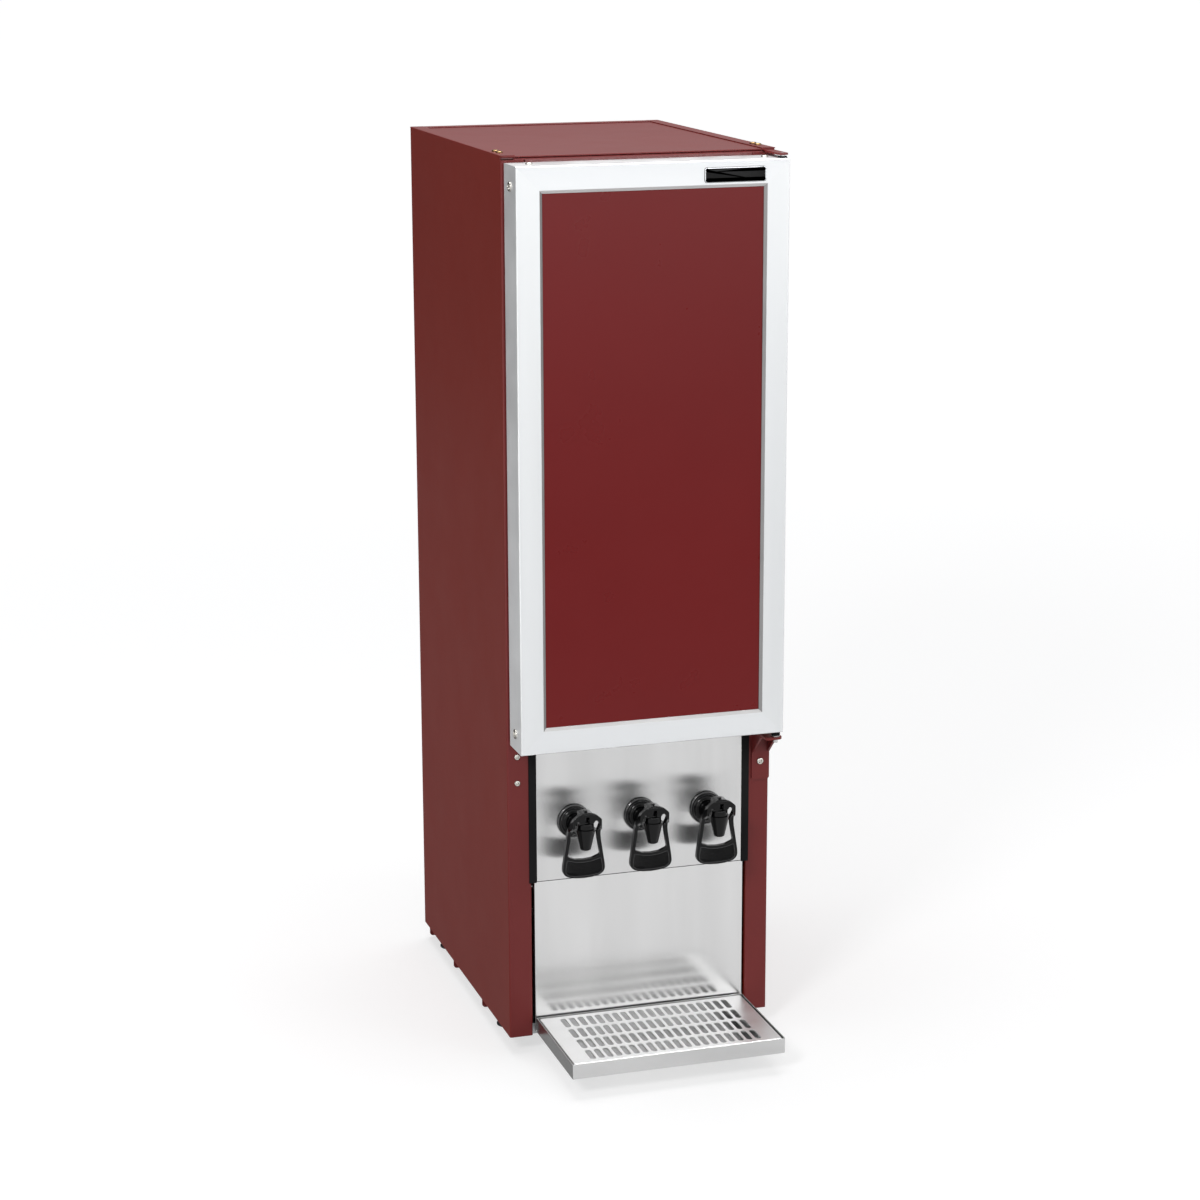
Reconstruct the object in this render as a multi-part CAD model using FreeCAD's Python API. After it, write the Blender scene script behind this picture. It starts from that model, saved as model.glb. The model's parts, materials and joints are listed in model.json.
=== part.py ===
import FreeCAD
import Part
import math
import os

# Cooled wine dispenser for bag-in-box: a tall insulated cabinet with a hinged door,
# three push-lever taps in a steel panel, a splash panel and a drip tray.
# Construction axes: x to the right, y to the rear from the pillars' front face,
# z up from the underside of the cabinet. Everything is in millimetres.

V = FreeCAD.Vector

# ---- cabinet
BODY_W = 315.0
BODY_D = 410.0
BODY_H = 1013.5
FOOT_H = 22.0
SHEET = 1.2
BEND_R = 1.0
PILLAR_W = 27.5
RETURN_D = 6.0
TOP_FLANGE_W = 16.0
REAR_FLANGE_W = 14.0
HIDDEN_GAP = 0.1
RUN_GAP = 0.3
HALF_W = BODY_W / 2
INNER_X = HALF_W - SHEET
PILLAR_X = HALF_W - PILLAR_W
TOP_PANEL_Z = BODY_H - SHEET
TOP_PANEL_BASE = TOP_PANEL_Z - SHEET
REAR_FACE = BODY_D - SHEET
REAR_INSIDE = REAR_FACE - SHEET

# ---- door
DOOR_SIDE_GAP = 2.1
DOOR_TOP_GAP = 7.5
DOOR_BASE = 355.0
DOOR_T = 48.0
DOOR_GAP = 4.5
FRAME_FACE = 29.5
FRAME_BACK_W = 24.0
FRAME_BEVEL = 3.5
PANEL_RECESS = 3.2
LIP_T = 0.8
FRAME_WALL = 2.0
PANEL_SHEET = 0.8
PANEL_FIT = 0.3
INNER_PANEL_T = 2.0
INNER_PAD = 3.0
GASKET_INSET = 11.4
GASKET_W = 10.0
GASKET_T = 3.2
GROOVE_W = 3.0
GROOVE_D = 4.5
DOOR_X = HALF_W - DOOR_SIDE_GAP
DOOR_Z = (DOOR_BASE, BODY_H - DOOR_TOP_GAP)
DOOR_BACK = -DOOR_GAP
DOOR_FRONT = DOOR_BACK - DOOR_T

# ---- hinge
HINGE_INSET = 5.4
HINGE_X = DOOR_X - HINGE_INSET
HINGE_Y = -42.0
PIN_R = 2.5
PIN_FIT = 0.06
BUSH_R = 3.9
BUSH_L = 12.0
BUSH_FLANGE_R = 5.0
BUSH_FLANGE_T = 1.6
PLATE_W = 12.0
PLATE_T = 2.0
PLATE_REACH = 62.0
SLOT_W = 14.3
SLOT_Z = TOP_PANEL_BASE - 2.7
BRACKET_T = 2.5
BRACKET_W = 21.4
BRACKET_DROP = 7.0
BRACKET_H = 63.0
BRACKET_Z = (DOOR_BASE - BRACKET_DROP - BRACKET_H, DOOR_BASE - BRACKET_DROP)
BRACKET_X = (HALF_W - HIDDEN_GAP - BRACKET_W, HALF_W - HIDDEN_GAP)
WEB_DROP = 30.0
WEB_REACH = 30.0
WASHER_T = 1.2
WASHER_R = 4.8

# ---- front panels
PANEL_SIDE_GAP = 6.0
TAP_PANEL_X = PILLAR_X - PANEL_SIDE_GAP
TAP_PANEL_Z = (187.0, 385.0)
STEEL_T = 1.0
SPLASH_X = PILLAR_X - 3.3
SPLASH_BASE = 4.0
SPLASH_FACE = 0.5
SPLASH_FOLD = 10.0
STRIP_W = 8.7
STRIP_T = 1.5
STRIP_FIT = 0.3
HEADER_H = 36.1
HEADER_Z = TOP_PANEL_BASE - HEADER_H
HEADER_D = 16.0
HEADER_GAP = 0.7
STRIP_Z = (TAP_PANEL_Z[0] - 1, HEADER_Z)

# ---- cold compartment
LINER_T = 1.0
LINER_X = PILLAR_X - 8.0
LINER_REAR = BODY_D - 39.0
FRONT_WALL_Y = 35.0
FOAM_BASE = 190.0
FLOOR_T = 36.0
LINER_Z = (FOAM_BASE + FLOOR_T, HEADER_Z - LINER_T)
SHELF_FIRST = TAP_PANEL_Z[1] + 9
SHELF_COUNT = 3
SHELF_PITCH = (LINER_Z[1] - SHELF_FIRST + 8) / SHELF_COUNT
SHELF_Z = [SHELF_FIRST + SHELF_PITCH * i for i in range(SHELF_COUNT)]
SHELF_WIRE_R = 2.5
SHELF_ROD_R = 1.5
SHELF_RODS = 9
SHELF_Y = (FRONT_WALL_Y + 17, LINER_REAR - 33)
RUNNER_W = 9.0
RUNNER_T = 3.0
EVAPORATOR_X = LINER_X - 27
EVAPORATOR_Z = (LINER_Z[0] + 250, LINER_Z[1] - 74)
EVAPORATOR_GAP = 8.0
CHANNEL_W = 9.0
CHANNEL_PITCH = 50.0
CHANNEL_EDGE = (34.0, 40.0)
THERMOSTAT_X = 50.0
THERMOSTAT_Y = (62.0, 112.0)
THERMOSTAT_H = 34.0
KNOB_X = 20.0
KNOB_Y = 46.0
KNOB_R = 13.0
KNOB_SHAFT_R = 3.0

# ---- taps
TAP_PITCH = 80.0
TAP_Z = 257.0
SHANK_R = 8.0
SHANK_HOLE_R = 8.6
SHANK_BORE_R = 4.0
SHANK_END = 52.0
BARB_END = 66.0
BARB = [(0.0, 5.0), (3.0, 6.2), (7.0, 4.8), (8.0, 6.0), (14.0, 4.8)]
BARREL_R = 9.0
BARREL_ROOT_R = 10.5
COLLAR_R = 19.75
COLLAR_T = 7.0
COLLAR_DOME = [(1.2, 0.0), (2.8, 0.9), (4.4, 2.6), (5.8, 5.0), (COLLAR_T, 7.6)]
COLLAR_FIT = 0.05
NUT_R = 13.0
NUT_T = 8.0
TAP_GASKET_R = 14.0
TAP_GASKET_T = 1.2
SPOUT_Y = -48.0
SPOUT_TOP_R = 11.6
SPOUT_TIP_R = 6.5
SPOUT_TIP_Z = 237.0
NECK_R = 8.6
NECK_Z = (262.0, 265.8)
CHAMBER_R = 5.2
OUTLET_R = 3.6
SEAT_Z = 246.0
BONNET_R = 9.6
BONNET_TOP_Z = 270.0
BONNET_DOME = [(0.0, 2.6), (0.6, 1.2), (2.0, 0.6), (4.0, 0.0)]
BONNET_FIT = 0.1
STEM_R = 2.0
STEM_FIT = 0.08
STEM_PLUG_FIT = 0.4
STEM_PLUG_H = 4.0
STEM_BAR_R = 1.4
STEM_BAR_HALF = 3.8
STEM_BAR_RISE = 5.2

# Lever, as seen from the front: distance from the tap's middle line, height.
PIVOT_Y = -54.0
PIVOT_Z = 270.0
LEVER_LOW = (0.0, 200.8)
LEVER_SIDE = [(10.0, 201.4), (19.0, 203.4), (23.5, 206.6), (25.0, 211.0), (24.6, 217.0), (22.6, 230.0),
              (20.2, 246.0), (19.3, 256.0), (20.1, 263.5), (19.4, 269.3), (16.4, 274.8), (11.0, 279.4),
              (5.2, 281.8)]
LEVER_CORNERS = [7.0] * len(LEVER_SIDE)
LEVER_HIGH = (0.0, 282.4)
WINDOW_LOW = (0.0, 223.0)
WINDOW_SIDE = [(10.0, 223.9), (19.2, 227.6), (18.0, 234.0), (15.9, 247.0), (14.9, 256.0), (14.9, 262.5),
               (14.2, 268.5), (12.0, 272.6), (9.4, 272.6), (8.0, 270.3)]
WINDOW_CORNERS = [6.0, 2.2, 6.0, 6.0, 6.0, 6.0, 4.0, 1.4, 1.2, 0.5]
# The same lever from the side: depth, height.
LEVER_BACK = -36.5
LEVER_STRAP = -41.5
LEVER_FRONT = -56.0
LEVER_PROFILE = [(LEVER_BACK, 199.0), (LEVER_BACK, 276.0), (-40.0, 282.5), (-53.5, 282.5),
                 (LEVER_FRONT, 280.2), (LEVER_FRONT, 266.0), (-52.5, 262.5), (-44.0, 257.0),
                 (LEVER_STRAP, 251.5), (LEVER_STRAP, 199.0)]
# Behind its front band the hood is open on both sides of the block that holds the stem.
HOOD_BACK = [(-50.5, 285.0), (-50.5, 268.0), (LEVER_BACK, 255.5), (LEVER_BACK + 2, 255.5),
             (LEVER_BACK + 2, 285.0)]
BLOCK_HALF = 7.2
BLOCK_BACK = -39.4
# And from above: half width, depth.
LEVER_PLAN = [(17.0, LEVER_FRONT), (20.8, -44.0), (27.0, LEVER_STRAP), (27.0, LEVER_BACK)]
GRIP_SIDE = [(17.0, 204.6), (21.4, 208.4), (20.9, 217.5)]
GRIP_Z = (203.4, 219.6)
GRIP_DEPTH = 0.8
BAR_FIT = 0.6
PIVOT_R = 1.5
PIVOT_FIT = 0.06
PIVOT_X = (3.0, 7.6)
SLOT_TOP = PIVOT_Z + 3.5
POCKET_TOP = PIVOT_Z + 9.5
MOUTH_TOP = PIVOT_Z + 7.4
MOUTH_HALF = 2.6
NIB = (1.6, 3.0, 1.4)

# ---- drip tray
TRAY_X = PILLAR_X - 3.5
TRAY_D = 145.0
TRAY_Z = (3.7, 21.8)
TRAY_REAR = -2.0
TRAY_T = 1.0
TRAY_FRONT = TRAY_REAR - TRAY_D
GRILLE_GAP = 1.8
GRILLE_DROP = 0.6
GRILLE_T = 1.2
SLOT_ROWS = 4
SLOT_COLUMNS = 20
SLOT_SIZE = (7.0, 27.0)
SLOT_PITCH = (2 * (TRAY_X - 23) / SLOT_COLUMNS, (TRAY_D - 15.8) / SLOT_ROWS)
SLOT_FIRST_Y = TRAY_REAR - 24.0
ARM_W = 20.0
ARM_T = 3.0
ARM_X = TRAY_X - 36.5
ARM_REACH = TRAY_D - 25.0
ARM_ROOT = 90.0

# ---- underside
RIB_Y = (149.0, 286.0, BODY_D - 2)
RIB_T = 2.0
RIB_DROP = 20.0
RIB_FLANGE = 16.0
RIB_HALF = HALF_W - 6.5
FOOT_X = HALF_W - 22.5
FOOT_Y = (95.0, BODY_D - 42)
FOOT_R = 12.5
FOOT_FLARE = [(0.0, 0.0), (FOOT_R, 0.0), (FOOT_R, 2.5), (8.5, 7.0), (7.0, 9.0), (0.0, 9.0)]
FOOT_HEX_R = 7.5
FOOT_HEX_H = 4.5
STUD_R = 4.0
STUD_FIT = 0.06
STUD_TOP = 14.0
NUT_FLANGE_R = 7.2
NUT_BODY_R = 6.1
NUT_H = 12.0
PAN_Z = 1.2
PAN_TOP = PAN_Z + SHEET
PAN_LIP_Z = 14.0
INTAKE_COUNT = 9
INTAKE_PITCH = 20.0
INTAKE_SIZE = (12.0, 90.0)

# ---- fasteners
SCREW_R = 2.0
SCREW_HEAD_R = 4.0
SCREW_HEAD_T = 2.0
SCREW_HOLE_R = 2.1
SCREW_L = 5.0
TOP_SCREW_X = HALF_W - 8.0
TOP_SCREW_Y = (34.0, 50.0)
PILLAR_SCREW_X = HALF_W - 11.5
PILLAR_SCREW_Z = (BRACKET_Z[0] + 22.3, BRACKET_Z[0] + 53.3)
PILLAR_HEAD_R = 3.4
DOOR_SIDE_SCREWS = (19.4, 23.0)
DOOR_SIDE_HEAD_R = 5.6
DOOR_SCREW_Y = -29.0
DOOR_END_SCREW_X = DOOR_X - 21.4

# ---- machine compartment
COMPRESSOR = (25.0, REAR_FACE - 116.8)
COMPRESSOR_R = 55.0
COMPRESSOR_H = 132.0
MOUNT_H = 12.0
MOUNT_GRID = (132.0, 76.0)
CONDENSER_X = HALF_W - 52.5
CONDENSER_Y = (34.0, 60.0)
CONDENSER_Z = (14.0, 150.0)
FIN_COUNT = 20
FIN_SLOT = 7.2
FAN_R = 52.0
FAN_SIZE = 120.0
FAN_Y = (60.0, 86.0)
FAN_Z = 82.0
FAN_HUB_R = 17.0
FAN_BLADES = 7
FAN_SHAFT_R = 2.0
DRIER_R = 9.0
DRIER_X = 39.5 - HALF_W
DRIER_Y = (150.0, 236.0)
REAR_GRILLE_X = HALF_W - 45.5
REAR_GRILLE_Z = (16.0, 160.0)
REAR_GRILLE_EDGE = 10.0
GLAND_X = 29.5 - HALF_W
GLAND_Z = 40.0
GLAND_R = 8.9
GLAND_BORE_R = 4.2

# ---- badge plate
BADGE_FROM_EDGE = (99.4, 28.4)
BADGE_FROM_TOP = (23.8, 7.3)
BADGE_T = 1.6
BADGE_R = 2.5

# The origin of the finished part is the middle of its footprint on the floor.
MIDDLE_Y = (TRAY_FRONT + BODY_D) / 2

PLANES = {
    "XY": (lambda u, v, w: V(u, v, w), V(0, 0, 1)),
    "YZ": (lambda u, v, w: V(w, u, v), V(1, 0, 0)),
    "XZ": (lambda u, v, w: V(u, w, v), V(0, 1, 0)),
}


# ---- shape helpers
def solid(shape):
    body = Part.Solid(shape.Shells[0]) if shape.ShapeType == "Shell" else shape
    if body.Volume < 0:
        body.reverse()
    return body


def box(x, y, z):
    return Part.makeBox(x[1] - x[0], y[1] - y[0], z[1] - z[0], V(x[0], y[0], z[0]))


def cylinder(radius, base, direction, length):
    return Part.makeCylinder(radius, length, base, direction)


def join(shapes):
    first = shapes[0]
    whole = first.fuse(shapes[1:]) if len(shapes) > 1 else first
    return whole.removeSplitter()


def corner_arc(before, corner, after, radius):
    """Start, middle and end of the arc that rounds a corner of a 2D path."""
    d0 = V(corner[0] - before[0], corner[1] - before[1], 0).normalize()
    d1 = V(after[0] - corner[0], after[1] - corner[1], 0).normalize()
    turn = d0.getAngle(d1)
    reach = radius * math.tan(turn / 2)
    point = V(corner[0], corner[1], 0)
    start = point - d0 * reach
    end = point + d1 * reach
    inward = (d1 - d0).normalize()
    middle = point + inward * (radius / math.cos(turn / 2) - radius)
    return start, middle, end


def rounded_path(points, radii, plane, w, closed=False):
    """Edges along 2D points, with an arc of the given radius at each corner."""
    put = PLANES[plane][0]
    count = len(points)
    stops = []
    for i, point in enumerate(points):
        radius = radii[i]
        inner = closed or 0 < i < count - 1
        if inner and radius > 0:
            stops.append(corner_arc(points[i - 1], point, points[(i + 1) % count], radius))
        else:
            stops.append((V(point[0], point[1], 0),))
    edges = []
    last = None
    for stop in stops + (stops[:1] if closed else []):
        if last is not None and (last - stop[0]).Length > 1e-6:
            edges.append(Part.LineSegment(put(last.x, last.y, w), put(stop[0].x, stop[0].y, w)).toShape())
        if len(stop) == 3 and not (closed and len(edges) > 0 and stop is stops[0]):
            a, m, b = (put(p.x, p.y, w) for p in stop)
            edges.append(Part.Arc(a, m, b).toShape())
        last = stop[-1]
    return edges


def prism(points, plane, span, radius=0.0):
    """A closed outline in a plane, extruded from span[0] to span[1] across it."""
    radii = radius if isinstance(radius, (list, tuple)) else [radius] * len(points)
    edges = rounded_path(points, radii, plane, span[0], closed=True)
    face = Part.Face(Part.Wire(edges))
    return solid(face.extrude(PLANES[plane][1] * (span[1] - span[0])))


def folded(points, thickness, plane, span, bend=BEND_R):
    """Sheet folded along 2D points, its thickness to the left of the path."""
    count = len(points)
    ways = []
    for a, b in zip(points, points[1:]):
        ways.append(V(b[0] - a[0], b[1] - a[1], 0).normalize())
    inner = []
    near = []
    far = []
    for i, point in enumerate(points):
        before = ways[max(i - 1, 0)]
        after = ways[min(i, count - 2)]
        normal = V(-before.y - after.y, before.x + after.x, 0).normalize()
        shift = thickness / normal.dot(V(-after.y, after.x, 0))
        inner.append((point[0] + normal.x * shift, point[1] + normal.y * shift))
        left = before.cross(after).z > 0
        near.append(bend + thickness if left else bend)
        far.append(bend if left else bend + thickness)
    edges = rounded_path(points, near, plane, span[0])
    back = rounded_path(inner, far, plane, span[0])
    put = PLANES[plane][0]
    ends = [(points[0], inner[0]), (points[-1], inner[-1])]
    for a, b in ends:
        edges.append(Part.LineSegment(put(a[0], a[1], span[0]), put(b[0], b[1], span[0])).toShape())
    face = Part.Face(Part.Wire(Part.__sortEdges__(edges + back)))
    return solid(face.extrude(PLANES[plane][1] * (span[1] - span[0])))


def turned(profile, base, direction):
    """A (radius, height) outline turned about an axis through base."""
    axis = V(*direction)
    side = V(0, 0, 1).cross(axis)
    if side.Length < 0.5:
        side = V(1, 0, 0)
    points = [base + side * r + axis * h for r, h in profile]
    wire = Part.makePolygon(points + points[:1])
    return solid(Part.Face(wire).revolve(base, axis, 360))


def mirrored(shape):
    return shape.mirror(V(0, 0, 0), V(1, 0, 0))


def pair(shape):
    return [shape, mirrored(shape)]


def rounded_edges(shape, radius, chosen):
    edges = [edge for edge in shape.Edges if chosen(edge)]
    return shape.makeFillet(radius, edges)


def straight_along(edge, axis):
    ends = [vertex.Point for vertex in edge.Vertexes]
    if len(ends) != 2:
        return False
    way = ends[1] - ends[0]
    return way.Length > 0.5 and abs(abs(way.normalize().dot(axis)) - 1) < 1e-6


def screw(head_base, outward, head_r=SCREW_HEAD_R):
    """Pan head standing outward from head_base, its shank going inward."""
    head = cylinder(head_r, head_base, outward, SCREW_HEAD_T)
    rim = SCREW_HEAD_T - 0.1
    crown = [edge for edge in head.Edges if (edge.CenterOfMass - head_base).dot(outward) > rim]
    head = head.makeFillet(1.2, [edge for edge in crown if edge.Length > 3 * head_r])
    shank = cylinder(SCREW_R, head_base, outward * -1, SCREW_L)
    return head.fuse(shank)


def screw_hole(head_base, outward):
    return cylinder(SCREW_HOLE_R, head_base + outward, outward * -1, SCREW_L + 2)


# ---- cabinet shell
def top_screw_places():
    return [V(s * TOP_SCREW_X, y, BODY_H) for s in (-1, 1) for y in TOP_SCREW_Y]


def pillar_screw_places(side, y):
    return [V(side * PILLAR_SCREW_X, y, z) for z in PILLAR_SCREW_Z]


def side_panel():
    wall = folded(
        [(PILLAR_X, RETURN_D), (PILLAR_X, 0), (HALF_W, 0),
         (HALF_W, BODY_D), (HALF_W - REAR_FLANGE_W, BODY_D)],
        SHEET, "XY", (0, BODY_H))
    above = box((0, INNER_X), (-1, BODY_D - 20), (SLOT_Z, BODY_H + 1))
    notch = box((0, HALF_W + 1), (-1, BEND_R + SHEET + 0.8), (SLOT_Z, TOP_PANEL_Z))
    flange = box((HALF_W - TOP_FLANGE_W, HALF_W - 0.1), (0, BODY_D), (TOP_PANEL_Z, BODY_H))
    foot_flange = box((HALF_W - 15, INNER_X + 0.1), (14, BODY_D - 14), (0, SHEET))
    wall = wall.cut([above, notch])
    whole = join([wall, flange, foot_flange])

    def top_edge(edge):
        middle = edge.CenterOfMass
        return straight_along(edge, V(0, 1, 0)) and middle.z > BODY_H - 0.01 and middle.x > HALF_W - 0.2

    whole = rounded_edges(whole, BEND_R, top_edge)
    holes = [screw_hole(place, V(0, 0, 1)) for place in top_screw_places() if place.x > 0]
    holes += [screw_hole(place, V(0, -1, 0)) for place in pillar_screw_places(1, 0)]
    return whole.cut(holes)


def top_panel():
    sheet = box((-INNER_X, INNER_X), (0, REAR_INSIDE), (TOP_PANEL_BASE, TOP_PANEL_Z))
    return sheet.cut([screw_hole(place, V(0, 0, 1)) for place in top_screw_places()])


def rear_panel():
    half = INNER_X - BEND_R
    flange_x = HALF_W - TOP_FLANGE_W
    edge = REAR_GRILLE_EDGE
    sheet = box((-half, half), (REAR_INSIDE, REAR_FACE), (PAN_TOP, TOP_PANEL_BASE))
    middle = box((-flange_x, flange_x), (REAR_INSIDE, REAR_FACE), (TOP_PANEL_BASE, BODY_H))
    lip = box((-flange_x, flange_x), (REAR_FACE - TOP_FLANGE_W, REAR_FACE), (TOP_PANEL_Z, BODY_H))
    window = box((edge - REAR_GRILLE_X, REAR_GRILLE_X - edge), (REAR_INSIDE - 1, REAR_FACE + 1),
                 (REAR_GRILLE_Z[0] + edge, REAR_GRILLE_Z[1] - edge))
    gland = cylinder(GLAND_R + HIDDEN_GAP, V(GLAND_X, REAR_INSIDE - 1, GLAND_Z), V(0, 1, 0), SHEET + 2)
    return join([sheet, middle, lip]).cut([window, gland])


def rear_grille():
    """Louvre plate over the machine compartment's rear opening."""
    low, high = REAR_GRILLE_Z
    plate = box((-REAR_GRILLE_X, REAR_GRILLE_X), (REAR_FACE, BODY_D), (low, high))
    slots = []
    columns = 4
    rows = 9
    edge = REAR_GRILLE_EDGE + 4
    width = 2 * (REAR_GRILLE_X - edge) / columns
    pitch = (high - low - 2 * edge) / (rows - 1)
    reach = width * 0.42
    for i in range(columns):
        x = edge - REAR_GRILLE_X + width * (i + 0.5)
        for j in range(rows):
            z = low + edge + pitch * j
            height = (z - pitch / 6, z + pitch / 6)
            slots.append(box((x - reach, x + reach), (REAR_FACE - 1, BODY_D + 1), height))
    return plate.cut(slots)


def front_header():
    top = TOP_PANEL_BASE - HEADER_GAP
    inner = PILLAR_X - HIDDEN_GAP
    face = folded([(HEADER_D, top), (0, top), (0, HEADER_Z), (HEADER_D, HEADER_Z)],
                  SHEET, "YZ", (-inner, inner))
    span = HALF_W - SLOT_W - 0.2
    wing = [(HEADER_D, top), (0, top), (0, SLOT_Z + HIDDEN_GAP - 1)]
    wings = pair(folded(wing, SHEET, "YZ", (inner - 1, span)))
    trim = pair(box((inner, span + 1), (-1, HEADER_D), (SLOT_Z - 5, SLOT_Z + HIDDEN_GAP)))
    low_half = (HEADER_Z - 1, HEADER_Z + HEADER_H / 2)
    trim += pair(box((LINER_X, inner + 1), (RETURN_D, HEADER_D + 1), low_half))
    tab = box((-INNER_X + HIDDEN_GAP, -span + 1), (BEND_R + SHEET, HEADER_D), (top - SHEET, top))
    return join([face, tab] + wings).cut(trim)


def base_pan():
    half = INNER_X - HIDDEN_GAP
    inner = PILLAR_X - HIDDEN_GAP
    front_y = SPLASH_FACE + STEEL_T + 0.6
    pan = box((-half, half), (front_y, REAR_INSIDE), (PAN_Z, PAN_TOP))
    lip = box((-inner, inner), (front_y, front_y + SHEET), (PAN_Z, PAN_LIP_Z))
    cuts = pair(box((inner, half + 1), (0, RETURN_D + 1), (0, PAN_TOP + 1)))
    for place in foot_places():
        cuts.append(cylinder(NUT_BODY_R + HIDDEN_GAP, V(place.x, place.y, 0), V(0, 0, 1), PAN_TOP + 1))
    w, l = INTAKE_SIZE
    for i in range(INTAKE_COUNT):
        x = (i - (INTAKE_COUNT - 1) / 2) * INTAKE_PITCH
        cuts.append(box((x - w / 2, x + w / 2), (20, 20 + l), (0, PAN_TOP + 1)))
    return join([pan, lip]).cut(cuts)


def base_cross_ribs():
    """Angle strips across the underside, the last one turned inward at the rear edge."""
    ribs = []
    for y in RIB_Y:
        start = min(y, BODY_D - RIB_FLANGE)
        low, high = -RIB_DROP, -RIB_T
        plate = prism([(-RIB_HALF, low), (RIB_HALF, low), (RIB_HALF, high), (-RIB_HALF, high)],
                      "XZ", (y, y + RIB_T), [4, 4, 0, 0])
        top = box((-RIB_HALF, RIB_HALF), (start, start + RIB_FLANGE), (-RIB_T, 0))
        ribs.append(join([plate, top]))
    return ribs


def foot_places():
    return [V(s * FOOT_X, y, 0) for y in FOOT_Y for s in (-1, 1)]


def hexagon(radius, centre, plane, span):
    points = []
    for i in range(6):
        angle = math.pi / 3 * i
        points.append((centre[0] + radius * math.cos(angle), centre[1] + radius * math.sin(angle)))
    return prism(points, plane, span)


def foot(place):
    """Flared foot with a hexagon and a threaded stud, turned in its nut to level the cabinet."""
    base = V(place.x, place.y, -FOOT_H)
    collar_z = -FOOT_H + FOOT_FLARE[-1][1]
    pad = turned(FOOT_FLARE, base, (0, 0, 1))
    collar = hexagon(FOOT_HEX_R, (place.x, place.y), "XY", (collar_z, collar_z + FOOT_HEX_H))
    stud_z = collar_z + FOOT_HEX_H - 1
    stud = cylinder(STUD_R, V(place.x, place.y, stud_z), V(0, 0, 1), STUD_TOP - stud_z)
    return join([pad, collar, stud])


def foot_nut(place):
    """Rivet nut in the base pan, its flange under the pan."""
    bore = STUD_R + STUD_FIT
    outline = [(bore, 0), (NUT_FLANGE_R, 0), (NUT_FLANGE_R, PAN_Z), (NUT_BODY_R, PAN_Z), (NUT_BODY_R, NUT_H),
               (bore, NUT_H)]
    return turned(outline, place, (0, 0, 1))


def partition_plate():
    half = INNER_X - HIDDEN_GAP
    depth = (SPLASH_FACE + STEEL_T + 1, REAR_INSIDE - HIDDEN_GAP)
    plate = box((-half, half), depth, (FOAM_BASE - SHEET, FOAM_BASE))
    corner = box((TAP_PANEL_X - 2 * STEEL_T, half + 1), (0, RETURN_D + 0.5), (FOAM_BASE - 5, FOAM_BASE + 1))
    return plate.cut(pair(corner))


def insulation():
    """Foam walls round the cold compartment, one slab for each side."""
    low = FOAM_BASE
    high = TOP_PANEL_BASE - 3
    outer = LINER_X + LINER_T
    front = RETURN_D + 0.5
    rear = LINER_REAR + LINER_T
    rear_out = REAR_INSIDE - HIDDEN_GAP
    side = box((outer, INNER_X - HIDDEN_GAP), (front, rear_out), (low, high))
    back = box((-outer, outer), (rear, rear_out), (low, high))
    roof = box((-outer, outer), (HEADER_D + 0.2, rear), (LINER_Z[1] + LINER_T, high))
    floor = box((-outer, outer), (FRONT_WALL_Y, rear), (low, LINER_Z[0] - LINER_T))
    wall_front = box((-outer, outer), (0, FRONT_WALL_Y - LINER_T), (low, TAP_PANEL_Z[1] - STEEL_T))
    wall_front = wall_front.cut([cylinder(SHANK_HOLE_R, V(x, -1, TAP_Z), V(0, 1, 0), FRONT_WALL_Y + 2)
                                 for x in tap_places()])
    foot_block = box((-outer, outer), (FRONT_WALL_Y - LINER_T, FRONT_WALL_Y), (low, LINER_Z[0] - LINER_T))
    return pair(side) + [back, roof, join([floor, foot_block]), wall_front]


def inner_liner():
    t = LINER_T
    x = LINER_X
    low, high = LINER_Z
    sill = TAP_PANEL_Z[1]
    outside = join([
        box((-x - t, x + t), (FRONT_WALL_Y - t, LINER_REAR + t), (low - t, high + t)),
        box((-x - t, x + t), (SHEET, FRONT_WALL_Y), (sill, high + t))])
    inside = join([
        box((-x, x), (FRONT_WALL_Y, LINER_REAR), (low, high)),
        box((-x, x), (0, FRONT_WALL_Y + 1), (sill, high))])
    holes = [cylinder(SHANK_HOLE_R, V(p, FRONT_WALL_Y - 5, TAP_Z), V(0, 1, 0), 10) for p in tap_places()]
    return outside.cut([inside] + holes)


def breaker_strips():
    """Black plastic strips clipped over the joint between pillars and inner wall."""
    inner = TAP_PANEL_X + STRIP_FIT
    outer = inner + STRIP_W
    gap = PILLAR_X - STRIP_FIT
    lip = box((inner, outer), (-1, 0), STRIP_Z)
    legs_z = (FOAM_BASE + HIDDEN_GAP, STRIP_Z[1])
    legs = [box(x, (0, RETURN_D), legs_z) for x in ((inner, inner + STRIP_T), (gap - STRIP_T, gap))]
    return pair(join([lip] + legs))


def tap_places():
    return (-TAP_PITCH, 0.0, TAP_PITCH)


def tap_panel():
    half = TAP_PANEL_X
    low, high = TAP_PANEL_Z
    face = box((-half, half), (-STEEL_T, 0), (low, high))
    sides = pair(box((half - STEEL_T, half), (-STEEL_T, RETURN_D), (low, high - 8)))
    bottom = box((-half + 1.5, half - 1.5), (-STEEL_T, 12), (low, low + STEEL_T))
    top = box((-half + 1.5, half - 1.5), (-STEEL_T, FRONT_WALL_Y - STEEL_T), (high - STEEL_T, high))
    panel = join([face, bottom, top] + sides)

    def front_edge(edge):
        middle = edge.CenterOfMass
        upright = straight_along(edge, V(0, 0, 1)) and abs(middle.x) > half - 0.01
        level = straight_along(edge, V(1, 0, 0)) and edge.Length > half
        return middle.y < -STEEL_T + 0.01 and (upright or level)

    panel = rounded_edges(panel, 0.8, front_edge)
    holes = [cylinder(SHANK_HOLE_R, V(x, -5, TAP_Z), V(0, 1, 0), 10) for x in tap_places()]
    return panel.cut(holes)


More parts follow.
